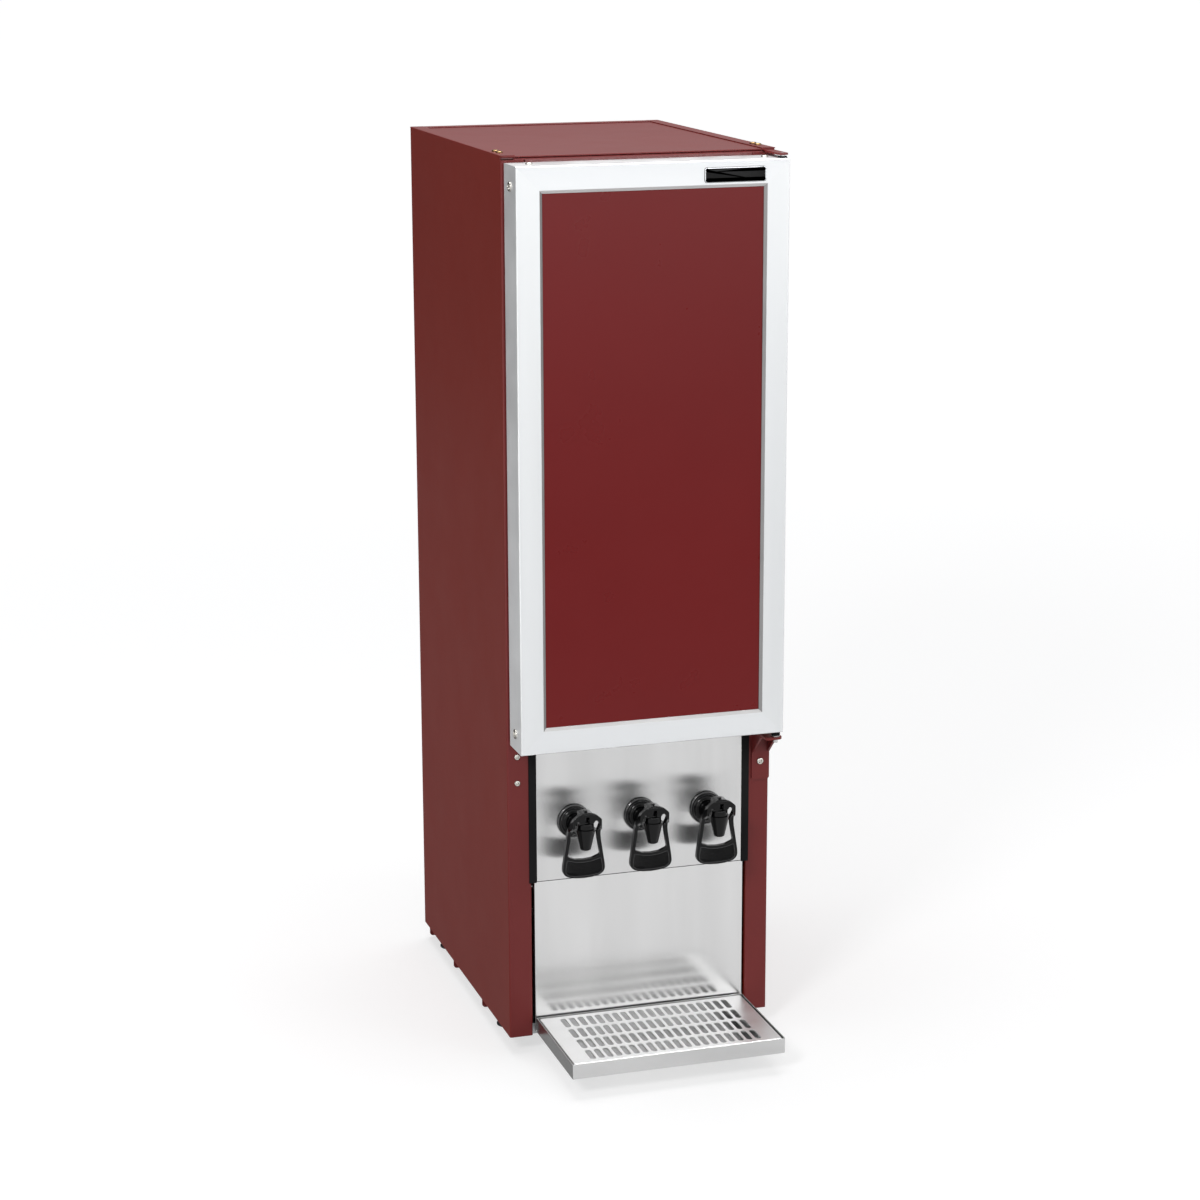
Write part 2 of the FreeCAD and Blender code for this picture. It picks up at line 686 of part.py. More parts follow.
def splash_panel():
    half = SPLASH_X
    top = TAP_PANEL_Z[0] - 0.4
    back = SPLASH_FACE + STEEL_T
    face = box((-half, half), (SPLASH_FACE, back), (SPLASH_BASE, top))
    fold = (SPLASH_FACE, SPLASH_FACE + SPLASH_FOLD)
    sides = pair(box((half - STEEL_T, half), fold, (SPLASH_BASE + 16, top)))
    panel = join([face] + sides)

    def front_edge(edge):
        middle = edge.CenterOfMass
        outer = middle.y < SPLASH_FACE + 0.01 and abs(middle.x) > half - 0.01
        return outer and straight_along(edge, V(0, 0, 1))

    return rounded_edges(panel, 0.7, front_edge)


# ---- hinges
def top_hinge_plate():
    left = HINGE_X - PLATE_W / 2
    right = HINGE_X + PLATE_W / 2
    tip = HINGE_Y - PLATE_W / 2
    z = (TOP_PANEL_BASE - PLATE_T, TOP_PANEL_BASE)
    plate = prism([(left, PLATE_REACH), (left, tip), (right, tip), (right, PLATE_REACH)],
                  "XY", z, [0, PLATE_W / 2 - 0.5, PLATE_W / 2 - 0.5, 0])
    holes = [screw_hole(place, V(0, 0, 1)) for place in top_screw_places() if place.x > 0]
    holes.append(cylinder(PIN_R, V(HINGE_X, HINGE_Y, z[0] - 1), V(0, 0, 1), PLATE_T + 2))
    return plate.cut(holes)


def lower_hinge_bracket():
    x = BRACKET_X
    t = BRACKET_T
    low, high = BRACKET_Z
    reach = HINGE_Y - 7.0
    plate = prism([(x[0], low), (x[1], low), (x[1], high), (x[0], high)], "XZ", (-t, 0), [3, 3, 0, 0])
    outline = [(x[0], 0), (x[0], reach), (x[1] - 1, reach), (x[1], 0)]
    shelf = prism(outline, "XY", (high - t, high), [0, 4, 6, 0])
    under = high - t + HIDDEN_GAP
    side = [(-t, high - WEB_DROP), (-t, under), (-WEB_REACH, under), (-WEB_REACH, under - 2)]
    webs = [prism(side, "YZ", (x[0], x[0] + t)), prism(side, "YZ", (x[1] - t, x[1]))]
    bracket = join([plate, shelf] + webs)
    holes = [screw_hole(place, V(0, -1, 0)) for place in pillar_screw_places(1, -t)]
    holes.append(cylinder(PIN_R, V(HINGE_X, HINGE_Y, high - 10), V(0, 0, 1), 20))
    return bracket.cut(holes)


def hinge_pins():
    plate_base = TOP_PANEL_BASE - PLATE_T
    upper = cylinder(PIN_R, V(HINGE_X, HINGE_Y, DOOR_Z[1] - BUSH_L + 1), V(0, 0, 1),
                     plate_base + PLATE_T - DOOR_Z[1] + BUSH_L - 1)
    shelf_top = BRACKET_Z[1]
    lower = cylinder(PIN_R, V(HINGE_X, HINGE_Y, shelf_top - BRACKET_T - 5), V(0, 0, 1),
                     DOOR_Z[0] + BUSH_L - 1 - shelf_top + BRACKET_T + 5)
    washer = cylinder(WASHER_R, V(HINGE_X, HINGE_Y, shelf_top), V(0, 0, 1), WASHER_T)
    washer = washer.cut(cylinder(PIN_R + PIN_FIT, V(HINGE_X, HINGE_Y, shelf_top - 1), V(0, 0, 1), 5))
    return [upper, lower, washer]


def door_bushes():
    bore = PIN_R + PIN_FIT
    drop = BRACKET_DROP - WASHER_T - RUN_GAP
    bushes = []
    for z, way, flange in ((DOOR_Z[1], 1, BUSH_FLANGE_T), (DOOR_Z[0], -1, drop)):
        outline = [(bore, -BUSH_L), (BUSH_R, -BUSH_L), (BUSH_R, 0), (BUSH_FLANGE_R, 0),
                   (BUSH_FLANGE_R, flange), (bore, flange)]
        bushes.append(turned(outline, V(HINGE_X, HINGE_Y, z), (0, 0, way)))
    return bushes


# ---- door
def frame_outline():
    """Section of the door's extrusion: u inward from the outer edge, v back from the front."""
    back = DOOR_T
    middle = GASKET_INSET + GASKET_W / 2
    groove = (middle - GROOVE_W / 2, middle + GROOVE_W / 2)
    return [(0, 0), (FRAME_FACE - FRAME_BEVEL, 0), (FRAME_FACE, PANEL_RECESS - LIP_T),
            (FRAME_FACE, PANEL_RECESS), (FRAME_BACK_W, PANEL_RECESS), (FRAME_BACK_W, back),
            (groove[1], back), (groove[1], back - GROOVE_D), (groove[0], back - GROOVE_D), (groove[0], back),
            (0, back)]


def frame_hollow():
    t = FRAME_WALL
    deep = DOOR_T - GROOVE_D - t
    return [(t, t), (FRAME_BACK_W - t, t), (FRAME_BACK_W - t, deep), (t, deep)]


def frame_bar(plane, put, span, trapezium):
    corners = [1.5] + [0] * 9 + [1.5]
    outer = prism([put(u, v) for u, v in frame_outline()], plane, span, corners)
    hollow = prism([put(u, v) for u, v in frame_hollow()], plane, span)
    mitre = prism(trapezium, "XZ", (DOOR_FRONT - 1, DOOR_BACK + 1))
    return outer.cut(hollow).common(mitre)


def bush_holes():
    return [cylinder(BUSH_R, V(HINGE_X, HINGE_Y, DOOR_Z[1] + 1), V(0, 0, -1), BUSH_L + 1),
            cylinder(BUSH_R, V(HINGE_X, HINGE_Y, DOOR_Z[0] - 1), V(0, 0, 1), BUSH_L + 1)]


def door_screw_places():
    places = []
    for s in (-1, 1):
        for z in (DOOR_Z[0] + DOOR_SIDE_SCREWS[0], DOOR_Z[1] - DOOR_SIDE_SCREWS[1]):
            places.append((V(s * DOOR_X, DOOR_SCREW_Y, z), V(s, 0, 0)))
        places.append((V(s * DOOR_END_SCREW_X, DOOR_SCREW_Y, DOOR_Z[1]), V(0, 0, 1)))
        places.append((V(s * DOOR_END_SCREW_X, DOOR_SCREW_Y, DOOR_Z[0]), V(0, 0, -1)))
    return places


def drilled_for_door(shape):
    holes = bush_holes() + [screw_hole(place, way) for place, way in door_screw_places()]
    return shape.cut(holes)


def door_stiles():
    reach = FRAME_FACE + 5
    low, high = DOOR_Z
    stiles = []
    for s in (-1, 1):
        shape = [(s * DOOR_X, low), (s * DOOR_X, high), (s * (DOOR_X - reach), high - reach),
                 (s * (DOOR_X - reach), low + reach)]
        bar = frame_bar("XY", lambda u, v: (s * (DOOR_X - u), DOOR_FRONT + v), DOOR_Z, shape)
        stiles.append(drilled_for_door(bar))
    return stiles


def door_rails():
    reach = FRAME_FACE + 5
    rails = []
    for edge, way in ((DOOR_Z[1], -1), (DOOR_Z[0], 1)):
        shape = [(-DOOR_X, edge), (DOOR_X, edge), (DOOR_X - reach, edge + way * reach),
                 (-DOOR_X + reach, edge + way * reach)]
        bar = frame_bar("YZ", lambda u, v: (DOOR_FRONT + v, edge + way * u), (-DOOR_X, DOOR_X), shape)
        rails.append(drilled_for_door(bar))
    return rails


def door_slab(inset, front, back):
    half = DOOR_X - inset
    height = (DOOR_Z[0] + inset, DOOR_Z[1] - inset)
    return box((-half, half), (DOOR_FRONT + front, DOOR_FRONT + back), height)


def door_panel():
    return door_slab(FRAME_BACK_W + PANEL_FIT, PANEL_RECESS, PANEL_RECESS + PANEL_SHEET)


def door_insulation():
    return door_slab(FRAME_BACK_W + PANEL_FIT, PANEL_RECESS + PANEL_SHEET, DOOR_T - INNER_PANEL_T)


def door_inner_panel():
    sheet = door_slab(FRAME_BACK_W + PANEL_FIT, DOOR_T - INNER_PANEL_T, DOOR_T)
    half = LINER_X - 4
    pad = box((-half, half), (DOOR_BACK - 1, DOOR_BACK + INNER_PAD), (TAP_PANEL_Z[1] + 7, LINER_Z[1] - 6))
    pad = rounded_edges(pad, 6, lambda edge: straight_along(edge, V(0, 1, 0)))
    pad = rounded_edges(pad, 1.5, lambda edge: edge.CenterOfMass.y > DOOR_BACK + INNER_PAD - 0.01)
    return join([sheet, pad])


def door_gasket():
    """Mitred magnetic seal: a flat face towards the cabinet and a dart in the frame's groove."""
    middle = GASKET_INSET + GASKET_W / 2
    edge = GASKET_INSET
    dart = GROOVE_W / 2 - 0.2
    section = [(edge, 0), (edge, GASKET_T - 0.8), (edge + 1, GASKET_T), (edge + GASKET_W - 1, GASKET_T),
               (edge + GASKET_W, GASKET_T - 0.8), (edge + GASKET_W, 0), (middle + dart, 0),
               (middle + dart, -GROOVE_D + 0.4), (middle - dart, -GROOVE_D + 0.4), (middle - dart, 0)]
    low, high = DOOR_Z
    reach = GASKET_INSET + GASKET_W + 5
    strips = []
    for s in (-1, 1):
        run = prism([(s * (DOOR_X - u), DOOR_BACK + v) for u, v in section], "XY", DOOR_Z)
        mitre = prism([(s * DOOR_X, low), (s * DOOR_X, high), (s * (DOOR_X - reach), high - reach),
                       (s * (DOOR_X - reach), low + reach)], "XZ", (DOOR_BACK - 10, DOOR_BACK + 10))
        strips.append(run.common(mitre))
    for edge_z, way in ((high, -1), (low, 1)):
        run = prism([(DOOR_BACK + v, edge_z + way * u) for u, v in section], "YZ", (-DOOR_X, DOOR_X))
        mitre = prism([(-DOOR_X, edge_z), (DOOR_X, edge_z), (DOOR_X - reach, edge_z + way * reach),
                       (-DOOR_X + reach, edge_z + way * reach)], "XZ", (DOOR_BACK - 10, DOOR_BACK + 10))
        strips.append(run.common(mitre))
    return strips


def door_screws():
    screws = []
    for place, way in door_screw_places():
        head_r = DOOR_SIDE_HEAD_R if way.x else SCREW_HEAD_R
        screws.append(screw(place, way, head_r))
    return screws


def badge_plate():
    x = [DOOR_X - edge for edge in BADGE_FROM_EDGE]
    z = [DOOR_Z[1] - edge for edge in BADGE_FROM_TOP]
    plate = prism([(x[0], z[0]), (x[1], z[0]), (x[1], z[1]), (x[0], z[1])], "XZ",
                  (DOOR_FRONT - BADGE_T, DOOR_FRONT), BADGE_R)
    return rounded_edges(plate, 0.6, lambda edge: edge.CenterOfMass.y < DOOR_FRONT - BADGE_T + 0.01)


def cabinet_screws():
    screws = [screw(place, V(0, 0, 1)) for place in top_screw_places()]
    screws += [screw(place, V(0, -1, 0), PILLAR_HEAD_R) for place in pillar_screw_places(-1, 0)]
    screws += [screw(place, V(0, -1, 0)) for place in pillar_screw_places(1, -BRACKET_T)]
    return screws


# ---- taps
def tap_body(x):
    """Hollow spout barrel with its shank through the panel and a hose barb behind."""
    centre = V(x, 0, TAP_Z)
    seat = -STEEL_T - TAP_GASKET_T - RUN_GAP
    tail = [(r, SHANK_END + along) for along, r in BARB]
    shank = turned([(0, SPOUT_Y), (BARREL_R, SPOUT_Y), (BARREL_R, seat - 9), (BARREL_ROOT_R, seat - 6),
                    (BARREL_ROOT_R, seat), (SHANK_R, seat), (SHANK_R, SHANK_END)] + tail + [(0, BARB_END)],
                   centre, (0, 1, 0))
    base = V(x, SPOUT_Y, 0)
    tip = SPOUT_TIP_Z
    spout = turned([(0, tip), (SPOUT_TIP_R - 1.6, tip), (SPOUT_TIP_R - 0.4, tip + 0.8),
                    (SPOUT_TIP_R, tip + 2.6), (SPOUT_TOP_R, NECK_Z[0]), (NECK_R, NECK_Z[0]),
                    (NECK_R, NECK_Z[1]), (0, NECK_Z[1])],
                   base, (0, 0, 1))
    inlet = cylinder(SHANK_BORE_R, V(x, SPOUT_Y, TAP_Z), V(0, 1, 0), BARB_END - SPOUT_Y + 1)
    chamber = cylinder(CHAMBER_R, V(x, SPOUT_Y, SEAT_Z), V(0, 0, 1), NECK_Z[1] - SEAT_Z + 1)
    outlet = cylinder(OUTLET_R, V(x, SPOUT_Y, tip - 1), V(0, 0, 1), SEAT_Z - tip + 2)
    clear = BONNET_R + 2
    above = box((x - clear, x + clear), (SPOUT_Y - clear, SPOUT_Y / 2), (NECK_Z[0], NECK_Z[1] + 6))
    return join([shank.cut(above), spout]).cut([inlet, chamber, outlet])


def tap_collars():
    """Domed black collar that covers the hole in the panel."""
    back = -STEEL_T - TAP_GASKET_T
    bore = BARREL_ROOT_R + COLLAR_FIT
    dome = [(COLLAR_R - inset, back - along) for along, inset in COLLAR_DOME]
    outline = [(bore, back), (COLLAR_R, back)] + dome + [(bore, back - COLLAR_T)]
    return [turned(outline, V(x, 0, TAP_Z), (0, 1, 0)) for x in tap_places()]


def tap_gaskets():
    back = -STEEL_T
    front = back - TAP_GASKET_T
    bore = SHANK_R + 2 * HIDDEN_GAP
    outline = [(bore, front), (TAP_GASKET_R, front), (TAP_GASKET_R, back), (bore, back)]
    return [turned(outline, V(x, 0, TAP_Z), (0, 1, 0)) for x in tap_places()]


def tap_back_nuts():
    nuts = []
    start = FRONT_WALL_Y + HIDDEN_GAP
    for x in tap_places():
        nut = hexagon(NUT_R, (x, TAP_Z), "XZ", (start, start + NUT_T))
        bore = cylinder(SHANK_R + COLLAR_FIT, V(x, start - 1, TAP_Z), V(0, 1, 0), NUT_T + 2)
        nuts.append(nut.cut(bore))
    return nuts


def tap_bonnets():
    low = NECK_Z[0] + 2 * HIDDEN_GAP
    roof = NECK_Z[1] + BONNET_FIT
    wall = NECK_R + BONNET_FIT
    bore = STEM_R + STEM_FIT
    dome = [(BONNET_R - inset, BONNET_TOP_Z - drop) for inset, drop in BONNET_DOME]
    outline = [(wall, low), (BONNET_R, low)] + dome + [(bore, BONNET_TOP_Z), (bore, roof), (wall, roof)]
    bonnets = []
    for x in tap_places():
        groove = cylinder(PIVOT_R + PIVOT_FIT, V(x - BONNET_R, PIVOT_Y, PIVOT_Z), V(1, 0, 0), 2 * BONNET_R)
        bonnets.append(turned(outline, V(x, SPOUT_Y, 0), (0, 0, 1)).cut(groove))
    return bonnets


def tap_stem(x):
    """Valve stem: plug on the seat, pin through the bonnet, cross bar held by the lever."""
    base = V(x, SPOUT_Y, 0)
    bar_z = PIVOT_Z + STEM_BAR_RISE
    low = SEAT_Z + RUN_GAP
    plug_r = CHAMBER_R - STEM_PLUG_FIT
    high = low + STEM_PLUG_H
    body = turned([(0, low - 2), (plug_r / 2, low - 2), (plug_r * 2 / 3, low), (plug_r, low), (plug_r, high),
                   (STEM_R, high + 2), (STEM_R, bar_z), (0, bar_z)], base, (0, 0, 1))
    bar = cylinder(STEM_BAR_R, base + V(-STEM_BAR_HALF, 0, bar_z), V(1, 0, 0), 2 * STEM_BAR_HALF)
    return join([body, bar])


def both_sides(x, low, side, high):
    """Closed outline about the line x from the points on its right-hand side."""
    right = [(x + u, v) for u, v in side]
    left = [(x - u, v) for u, v in reversed(side)]
    ends = [(x + low[0], low[1])], [(x + high[0], high[1])] if high else []
    return ends[0] + right + ends[1] + left


def tap_lever(x):
    """Loop lever: open hood over the bonnet, two straps past the spout and a push paddle below.

    It rocks on a half-round rib in the bonnet's groove and lifts the stem by its cross bar.
    """
    depth = (LEVER_FRONT, LEVER_BACK)
    through = (LEVER_FRONT - 1, LEVER_BACK + 1)
    corners = [0] + LEVER_CORNERS + [0] + LEVER_CORNERS[::-1]
    loop = prism(both_sides(x, LEVER_LOW, LEVER_SIDE, LEVER_HIGH), "XZ", depth, corners)
    corners = [0] + WINDOW_CORNERS + WINDOW_CORNERS[::-1]
    window = prism(both_sides(x, WINDOW_LOW, WINDOW_SIDE, None), "XZ", through, corners)
    profile = prism(LEVER_PROFILE, "YZ", (x - 2 * COLLAR_R, x + 2 * COLLAR_R))
    right = [(x + u, v) for u, v in LEVER_PLAN]
    left = [(x - u, v) for u, v in reversed(LEVER_PLAN)]
    plan = prism(right + left, "XY", (LEVER_LOW[1] - 1, LEVER_HIGH[1] + 1))
    lever = loop.common(profile).common(plan).cut(window)
    neck = STEM_R + RUN_GAP
    pocket = STEM_BAR_HALF + BAR_FIT
    grip = both_sides(x, (0, GRIP_Z[0]), GRIP_SIDE, (0, GRIP_Z[1]))
    half, reach, rise = NIB
    nib_base = LEVER_HIGH[1] - 1
    nib_top = LEVER_HIGH[1] + rise
    nib = [(SPOUT_Y - reach, nib_base), (SPOUT_Y + reach, nib_base), (SPOUT_Y + reach - 1, nib_top),
           (SPOUT_Y - reach + 1, nib_top)]
    cuts = [
        box((x - neck, x + neck), (PIVOT_Y - 1, SPOUT_Y + 6), (PIVOT_Z - 2, SLOT_TOP + 1)),
        box((x - pocket, x + pocket), (SPOUT_Y - 5, SPOUT_Y + 6.5), (SLOT_TOP, POCKET_TOP)),
        box((x - MOUTH_HALF, x + MOUTH_HALF), (LEVER_FRONT - 1, SPOUT_Y - 4), (PIVOT_Z - 2, MOUTH_TOP)),
        prism(grip, "XZ", (LEVER_STRAP - 1, LEVER_STRAP + GRIP_DEPTH)),
        box((x - COLLAR_R, x + COLLAR_R), (BLOCK_BACK, LEVER_BACK + 1), (HOOD_BACK[2][1], HOOD_BACK[0][1]))]
    cuts += [prism(HOOD_BACK, "YZ", (x + s * BLOCK_HALF, x + s * 2 * COLLAR_R)) for s in (-1, 1)]
    start, end = PIVOT_X
    ribs = [(V(x + s * start, PIVOT_Y, PIVOT_Z), V(s, 0, 0)) for s in (-1, 1)]
    pivots = [cylinder(PIVOT_R, place, way, end - start) for place, way in ribs]
    return lever.cut(cuts).fuse(pivots + [prism(nib, "YZ", (x - half, x + half))]).removeSplitter()


# ---- drip tray
def drip_tray():
    half = TRAY_X
    low, high = TRAY_Z
    outer = box((-half, half), (TRAY_FRONT, TRAY_REAR), (low, high))
    outer = rounded_edges(outer, 2.0, lambda edge: straight_along(edge, V(0, 0, 1)))
    outer = rounded_edges(outer, 1.4, lambda edge: edge.CenterOfMass.z < low + 0.01)
    t = TRAY_T
    inner = box((-half + t, half - t), (TRAY_FRONT + t, TRAY_REAR - t), (low + t, high + 1))
    inner = rounded_edges(inner, 1.0, lambda edge: straight_along(edge, V(0, 0, 1)))
    return outer.cut(inner)


def drip_grille():
    """Slotted plate that stands in the tray on its folded edges."""
    gap = TRAY_T + GRILLE_GAP
    half = TRAY_X - gap
    y = (TRAY_FRONT + gap, TRAY_REAR - gap)
    top = TRAY_Z[1] - GRILLE_DROP
    foot_z = TRAY_Z[0] + TRAY_T + RUN_GAP
    outer = box((-half, half), y, (foot_z, top))
    outer = rounded_edges(outer, 3.0, lambda edge: straight_along(edge, V(0, 0, 1)))
    outer = rounded_edges(outer, 1.0, lambda edge: edge.CenterOfMass.z > top - 0.01)
    t = GRILLE_T
    inner = box((-half + t, half - t), (y[0] + t, y[1] - t), (foot_z - 1, top - t))
    inner = rounded_edges(inner, 1.8, lambda edge: straight_along(edge, V(0, 0, 1)))
    faces = []
    w, l = SLOT_SIZE
    for row in range(SLOT_ROWS):
        cy = SLOT_FIRST_Y - row * SLOT_PITCH[1]
        for column in range(SLOT_COLUMNS):
            cx = (column - (SLOT_COLUMNS - 1) / 2) * SLOT_PITCH[0]
            faces.append(slot_hole(cx, cy, w / 2, l / 2, (top - t - 1, top + 1)))
    return outer.cut(inner).cut(faces)


def slot_hole(cx, cy, r, half, z):
    straight = half - r
    a = V(cx - r, cy - straight, z[0])
    b = V(cx + r, cy - straight, z[0])
    c = V(cx + r, cy + straight, z[0])
    d = V(cx - r, cy + straight, z[0])
    edges = [Part.Arc(a, V(cx, cy - half, z[0]), b).toShape(), Part.LineSegment(b, c).toShape(),
             Part.Arc(c, V(cx, cy + half, z[0]), d).toShape(), Part.LineSegment(d, a).toShape()]
    return Part.Face(Part.Wire(edges)).extrude(V(0, 0, z[1] - z[0]))


def tray_arms():
    """Two strips from under the cabinet, stepped up to carry the tray."""
    low = PAN_Z - ARM_T
    high = TRAY_Z[0] - RUN_GAP - ARM_T
    path = [(-ARM_REACH, high), (-16, high), (-10, low), (ARM_ROOT, low)]
    arm = folded(path, ARM_T, "YZ", (ARM_X - ARM_W / 2, ARM_X + ARM_W / 2), 2.0)
    return pair(arm)


# ---- inside
def shelf(z):
    x = LINER_X - 3.0
    r = SHELF_WIRE_R
    y0, y1 = SHELF_Y
    low = z - r
    frame = [cylinder(r, V(-x + r, y, low), V(1, 0, 0), 2 * (x - r)) for y in (y0, y1)]
    frame += [cylinder(r, V(s * (x - r), y0, low), V(0, 1, 0), y1 - y0) for s in (-1, 1)]
    frame += [Part.makeSphere(r, V(s * (x - r), y, low)) for s in (-1, 1) for y in (y0, y1)]
    pitch = 2 * (x - r) / (SHELF_RODS + 1)
    rods = [cylinder(SHELF_ROD_R, V(-x + r + pitch * (i + 1), y0, z - SHELF_ROD_R), V(0, 1, 0), y1 - y0)
            for i in range(SHELF_RODS)]
    return join(frame + rods)


def shelf_runners():
    runners = []
    for z in SHELF_Z:
        top = z - 2 * SHELF_WIRE_R
        bar = box((LINER_X - RUNNER_W, LINER_X), (SHELF_Y[0] - 4, SHELF_Y[1] + 4), (top - RUNNER_T, top))
        rail = box((LINER_X - 2.4, LINER_X), (SHELF_Y[0] - 4, SHELF_Y[1] + 4), (top - 9, top))
        runners += pair(join([bar, rail]))
    return runners


def evaporator_plate():
    """Cooling plate on studs before the rear wall, with its raised channel."""
    back = LINER_REAR - EVAPORATOR_GAP
    half = EVAPORATOR_X
    low, high = EVAPORATOR_Z
    plate = box((-half, half), (back - 1.5, back), (low, high))
    plate = rounded_edges(plate, 8, lambda edge: straight_along(edge, V(0, 1, 0)))
    studs = [cylinder(5, V(s * (half - 15), back - 0.5, z), V(0, 1, 0), EVAPORATOR_GAP + 0.5)
             for s in (-1, 1) for z in (low + 14, high - 14)]
    points = []
    run = high - low - CHANNEL_EDGE[0] - CHANNEL_EDGE[1]
    for i in range(int(run / CHANNEL_PITCH) + 1):
        way = -1 if i % 2 == 0 else 1
        z = low + CHANNEL_EDGE[0] + i * CHANNEL_PITCH
        points += [(way * (half - 23), z), (-way * (half - 23), z)]
    channel = folded(points, CHANNEL_W, "XZ", (back - 3.5, back - 1), CHANNEL_W)
    return join([plate, channel] + studs)


def thermostat_housing():
    high = LINER_Z[1]
    low = high - THERMOSTAT_H
    shell = box((-THERMOSTAT_X, THERMOSTAT_X), THERMOSTAT_Y, (low, high))
    shell = rounded_edges(shell, 5, lambda edge: edge.CenterOfMass.z < low + 0.1)
    bore = cylinder(KNOB_SHAFT_R + PIN_FIT, V(KNOB_X, THERMOSTAT_Y[0] - 1, knob_z()), V(0, 1, 0), 14)
    return shell.cut(bore)


def knob_z():
    return LINER_Z[1] - THERMOSTAT_H / 2


def thermostat_knob():
    """Dial with a pointer rib, on the thermostat's shaft."""
    front = KNOB_Y
    back = THERMOSTAT_Y[0] - 0.4
    r = KNOB_R
    dial = turned([(0, front), (r - 2, front), (r - 1, front + 1), (r, back), (KNOB_SHAFT_R, back),
                   (KNOB_SHAFT_R, back + 10.4), (0, back + 10.4)], V(KNOB_X, 0, knob_z()), (0, 1, 0))
    rib = box((KNOB_X - 1.4, KNOB_X + 1.4), (front - 2.5, front + 1), (knob_z() - r + 3, knob_z() + r - 3))
    return join([dial, rib])


def compressor():
    x, y = COMPRESSOR
    r = COMPRESSOR_R
    base = V(x, y, PAN_TOP + MOUNT_H)
    h = COMPRESSOR_H
    weld = h * 0.5
    low_half = [(0, 2), (r * 0.6, 2), (r * 0.88, 8), (r, 20), (r, weld)]
    seam = [(r + 4, weld), (r + 4, weld + 4), (r, weld + 4)]
    high_half = [(r, h - 30), (r * 0.88, h - 12), (r * 0.55, h - 3), (0, h)]
    shell = turned(low_half + seam + high_half, base, (0, 0, 1))
    gx, gy = MOUNT_GRID[0] / 2 + 12, MOUNT_GRID[1] / 2 + 12
    plate = prism([(x - gx, y - gy), (x + gx, y - gy), (x + gx, y + gy), (x - gx, y + gy)], "XY",
                  (base.z, base.z + 2.5), 10)
    plate = plate.cut([cylinder(5.2, V(p.x, p.y, base.z - 1), V(0, 0, 1), 6) for p in mount_places()])
    cover = box((x - 22, x + 22), (y - r - 22, y - r + 8), (base.z + 30, base.z + 78))
    cover = rounded_edges(cover, 4, lambda edge: edge.CenterOfMass.y < y - r - 21.9)
    tubes = [cylinder(4, V(x + s * 30, y + r - 10, base.z + 96), V(0, 1, 0.4), 22) for s in (-1, 1)]
    return join([shell, plate, cover] + tubes)


def mount_places():
    x, y = COMPRESSOR
    u, v = MOUNT_GRID[0] / 2, MOUNT_GRID[1] / 2
    return [V(x + s * u, y + t * v, PAN_TOP) for s in (-1, 1) for t in (-1, 1)]


def compressor_grommets():
    outline = [(0, 0), (9, 0), (9, MOUNT_H), (5, MOUNT_H), (5, MOUNT_H + 5), (0, MOUNT_H + 5)]
    return [turned(outline, place, (0, 0, 1)) for place in mount_places()]


def condenser():
    y = CONDENSER_Y
    z = CONDENSER_Z
    block = box((-CONDENSER_X, CONDENSER_X), y, z)
    grooves = []
    pitch = 2 * CONDENSER_X / FIN_COUNT
    for i in range(FIN_COUNT):
        x = -CONDENSER_X + pitch * (i + 0.5)
        slot = (x - FIN_SLOT / 2, x + FIN_SLOT / 2)
        grooves.append(box(slot, (y[0] - 1, y[0] + 10), (z[0] + 6, z[1] - 6)))
        grooves.append(box(slot, (y[1] - 10, y[1] + 1), (z[0] + 6, z[1] - 6)))
    legs = pair(box((CONDENSER_X - 35, CONDENSER_X - 15), y, (PAN_TOP, z[0])))
    return join([block.cut(grooves)] + legs)


def fan_shroud():
    half = FAN_SIZE / 2
    y0, y1 = FAN_Y
    frame = box((-half, half), (y0 + 0.2, y1), (FAN_Z - half, FAN_Z + half))
    frame = rounded_edges(frame, 6, lambda edge: straight_along(edge, V(0, 1, 0)))
    frame = frame.cut(cylinder(FAN_R + 2, V(0, y0 - 1, FAN_Z), V(0, 1, 0), y1 - y0 + 2))
    motor = cylinder(FAN_HUB_R, V(0, y1 - 6, FAN_Z), V(0, 1, 0), 18)
    shaft = cylinder(FAN_SHAFT_R, V(0, y0 + 6, FAN_Z), V(0, 1, 0), y1 - y0 - 8)
    struts = []
    for i in range(4):
        strut = box((FAN_HUB_R - 2, FAN_R + 4), (y1 - 4, y1), (FAN_Z - 2.5, FAN_Z + 2.5))
        struts.append(strut.rotated(V(0, 0, FAN_Z), V(0, 1, 0), 45 + 90 * i))
    foot_plate = box((-half + 8, half - 8), (y0 + 4, y1), (PAN_TOP, FAN_Z - half + 1))
    return join([frame, motor, shaft, foot_plate] + struts)


def fan_rotor():
    y0 = FAN_Y[0]
    hub = cylinder(FAN_HUB_R - 1, V(0, y0 + 4, FAN_Z), V(0, 1, 0), 14)
    blades = []
    for i in range(FAN_BLADES):
        blade = box((FAN_HUB_R - 3, FAN_R - 1), (y0 + 10.2, y0 + 11.8), (FAN_Z - 12, FAN_Z + 12))
        blade = blade.rotated(V(0, y0 + 11, FAN_Z), V(1, 0, 0), 28)
        blades.append(blade.rotated(V(0, 0, FAN_Z), V(0, 1, 0), 360.0 * i / FAN_BLADES))
    bore = cylinder(FAN_SHAFT_R + 0.06, V(0, y0, FAN_Z), V(0, 1, 0), 40)
    return join([hub] + blades).cut(bore)


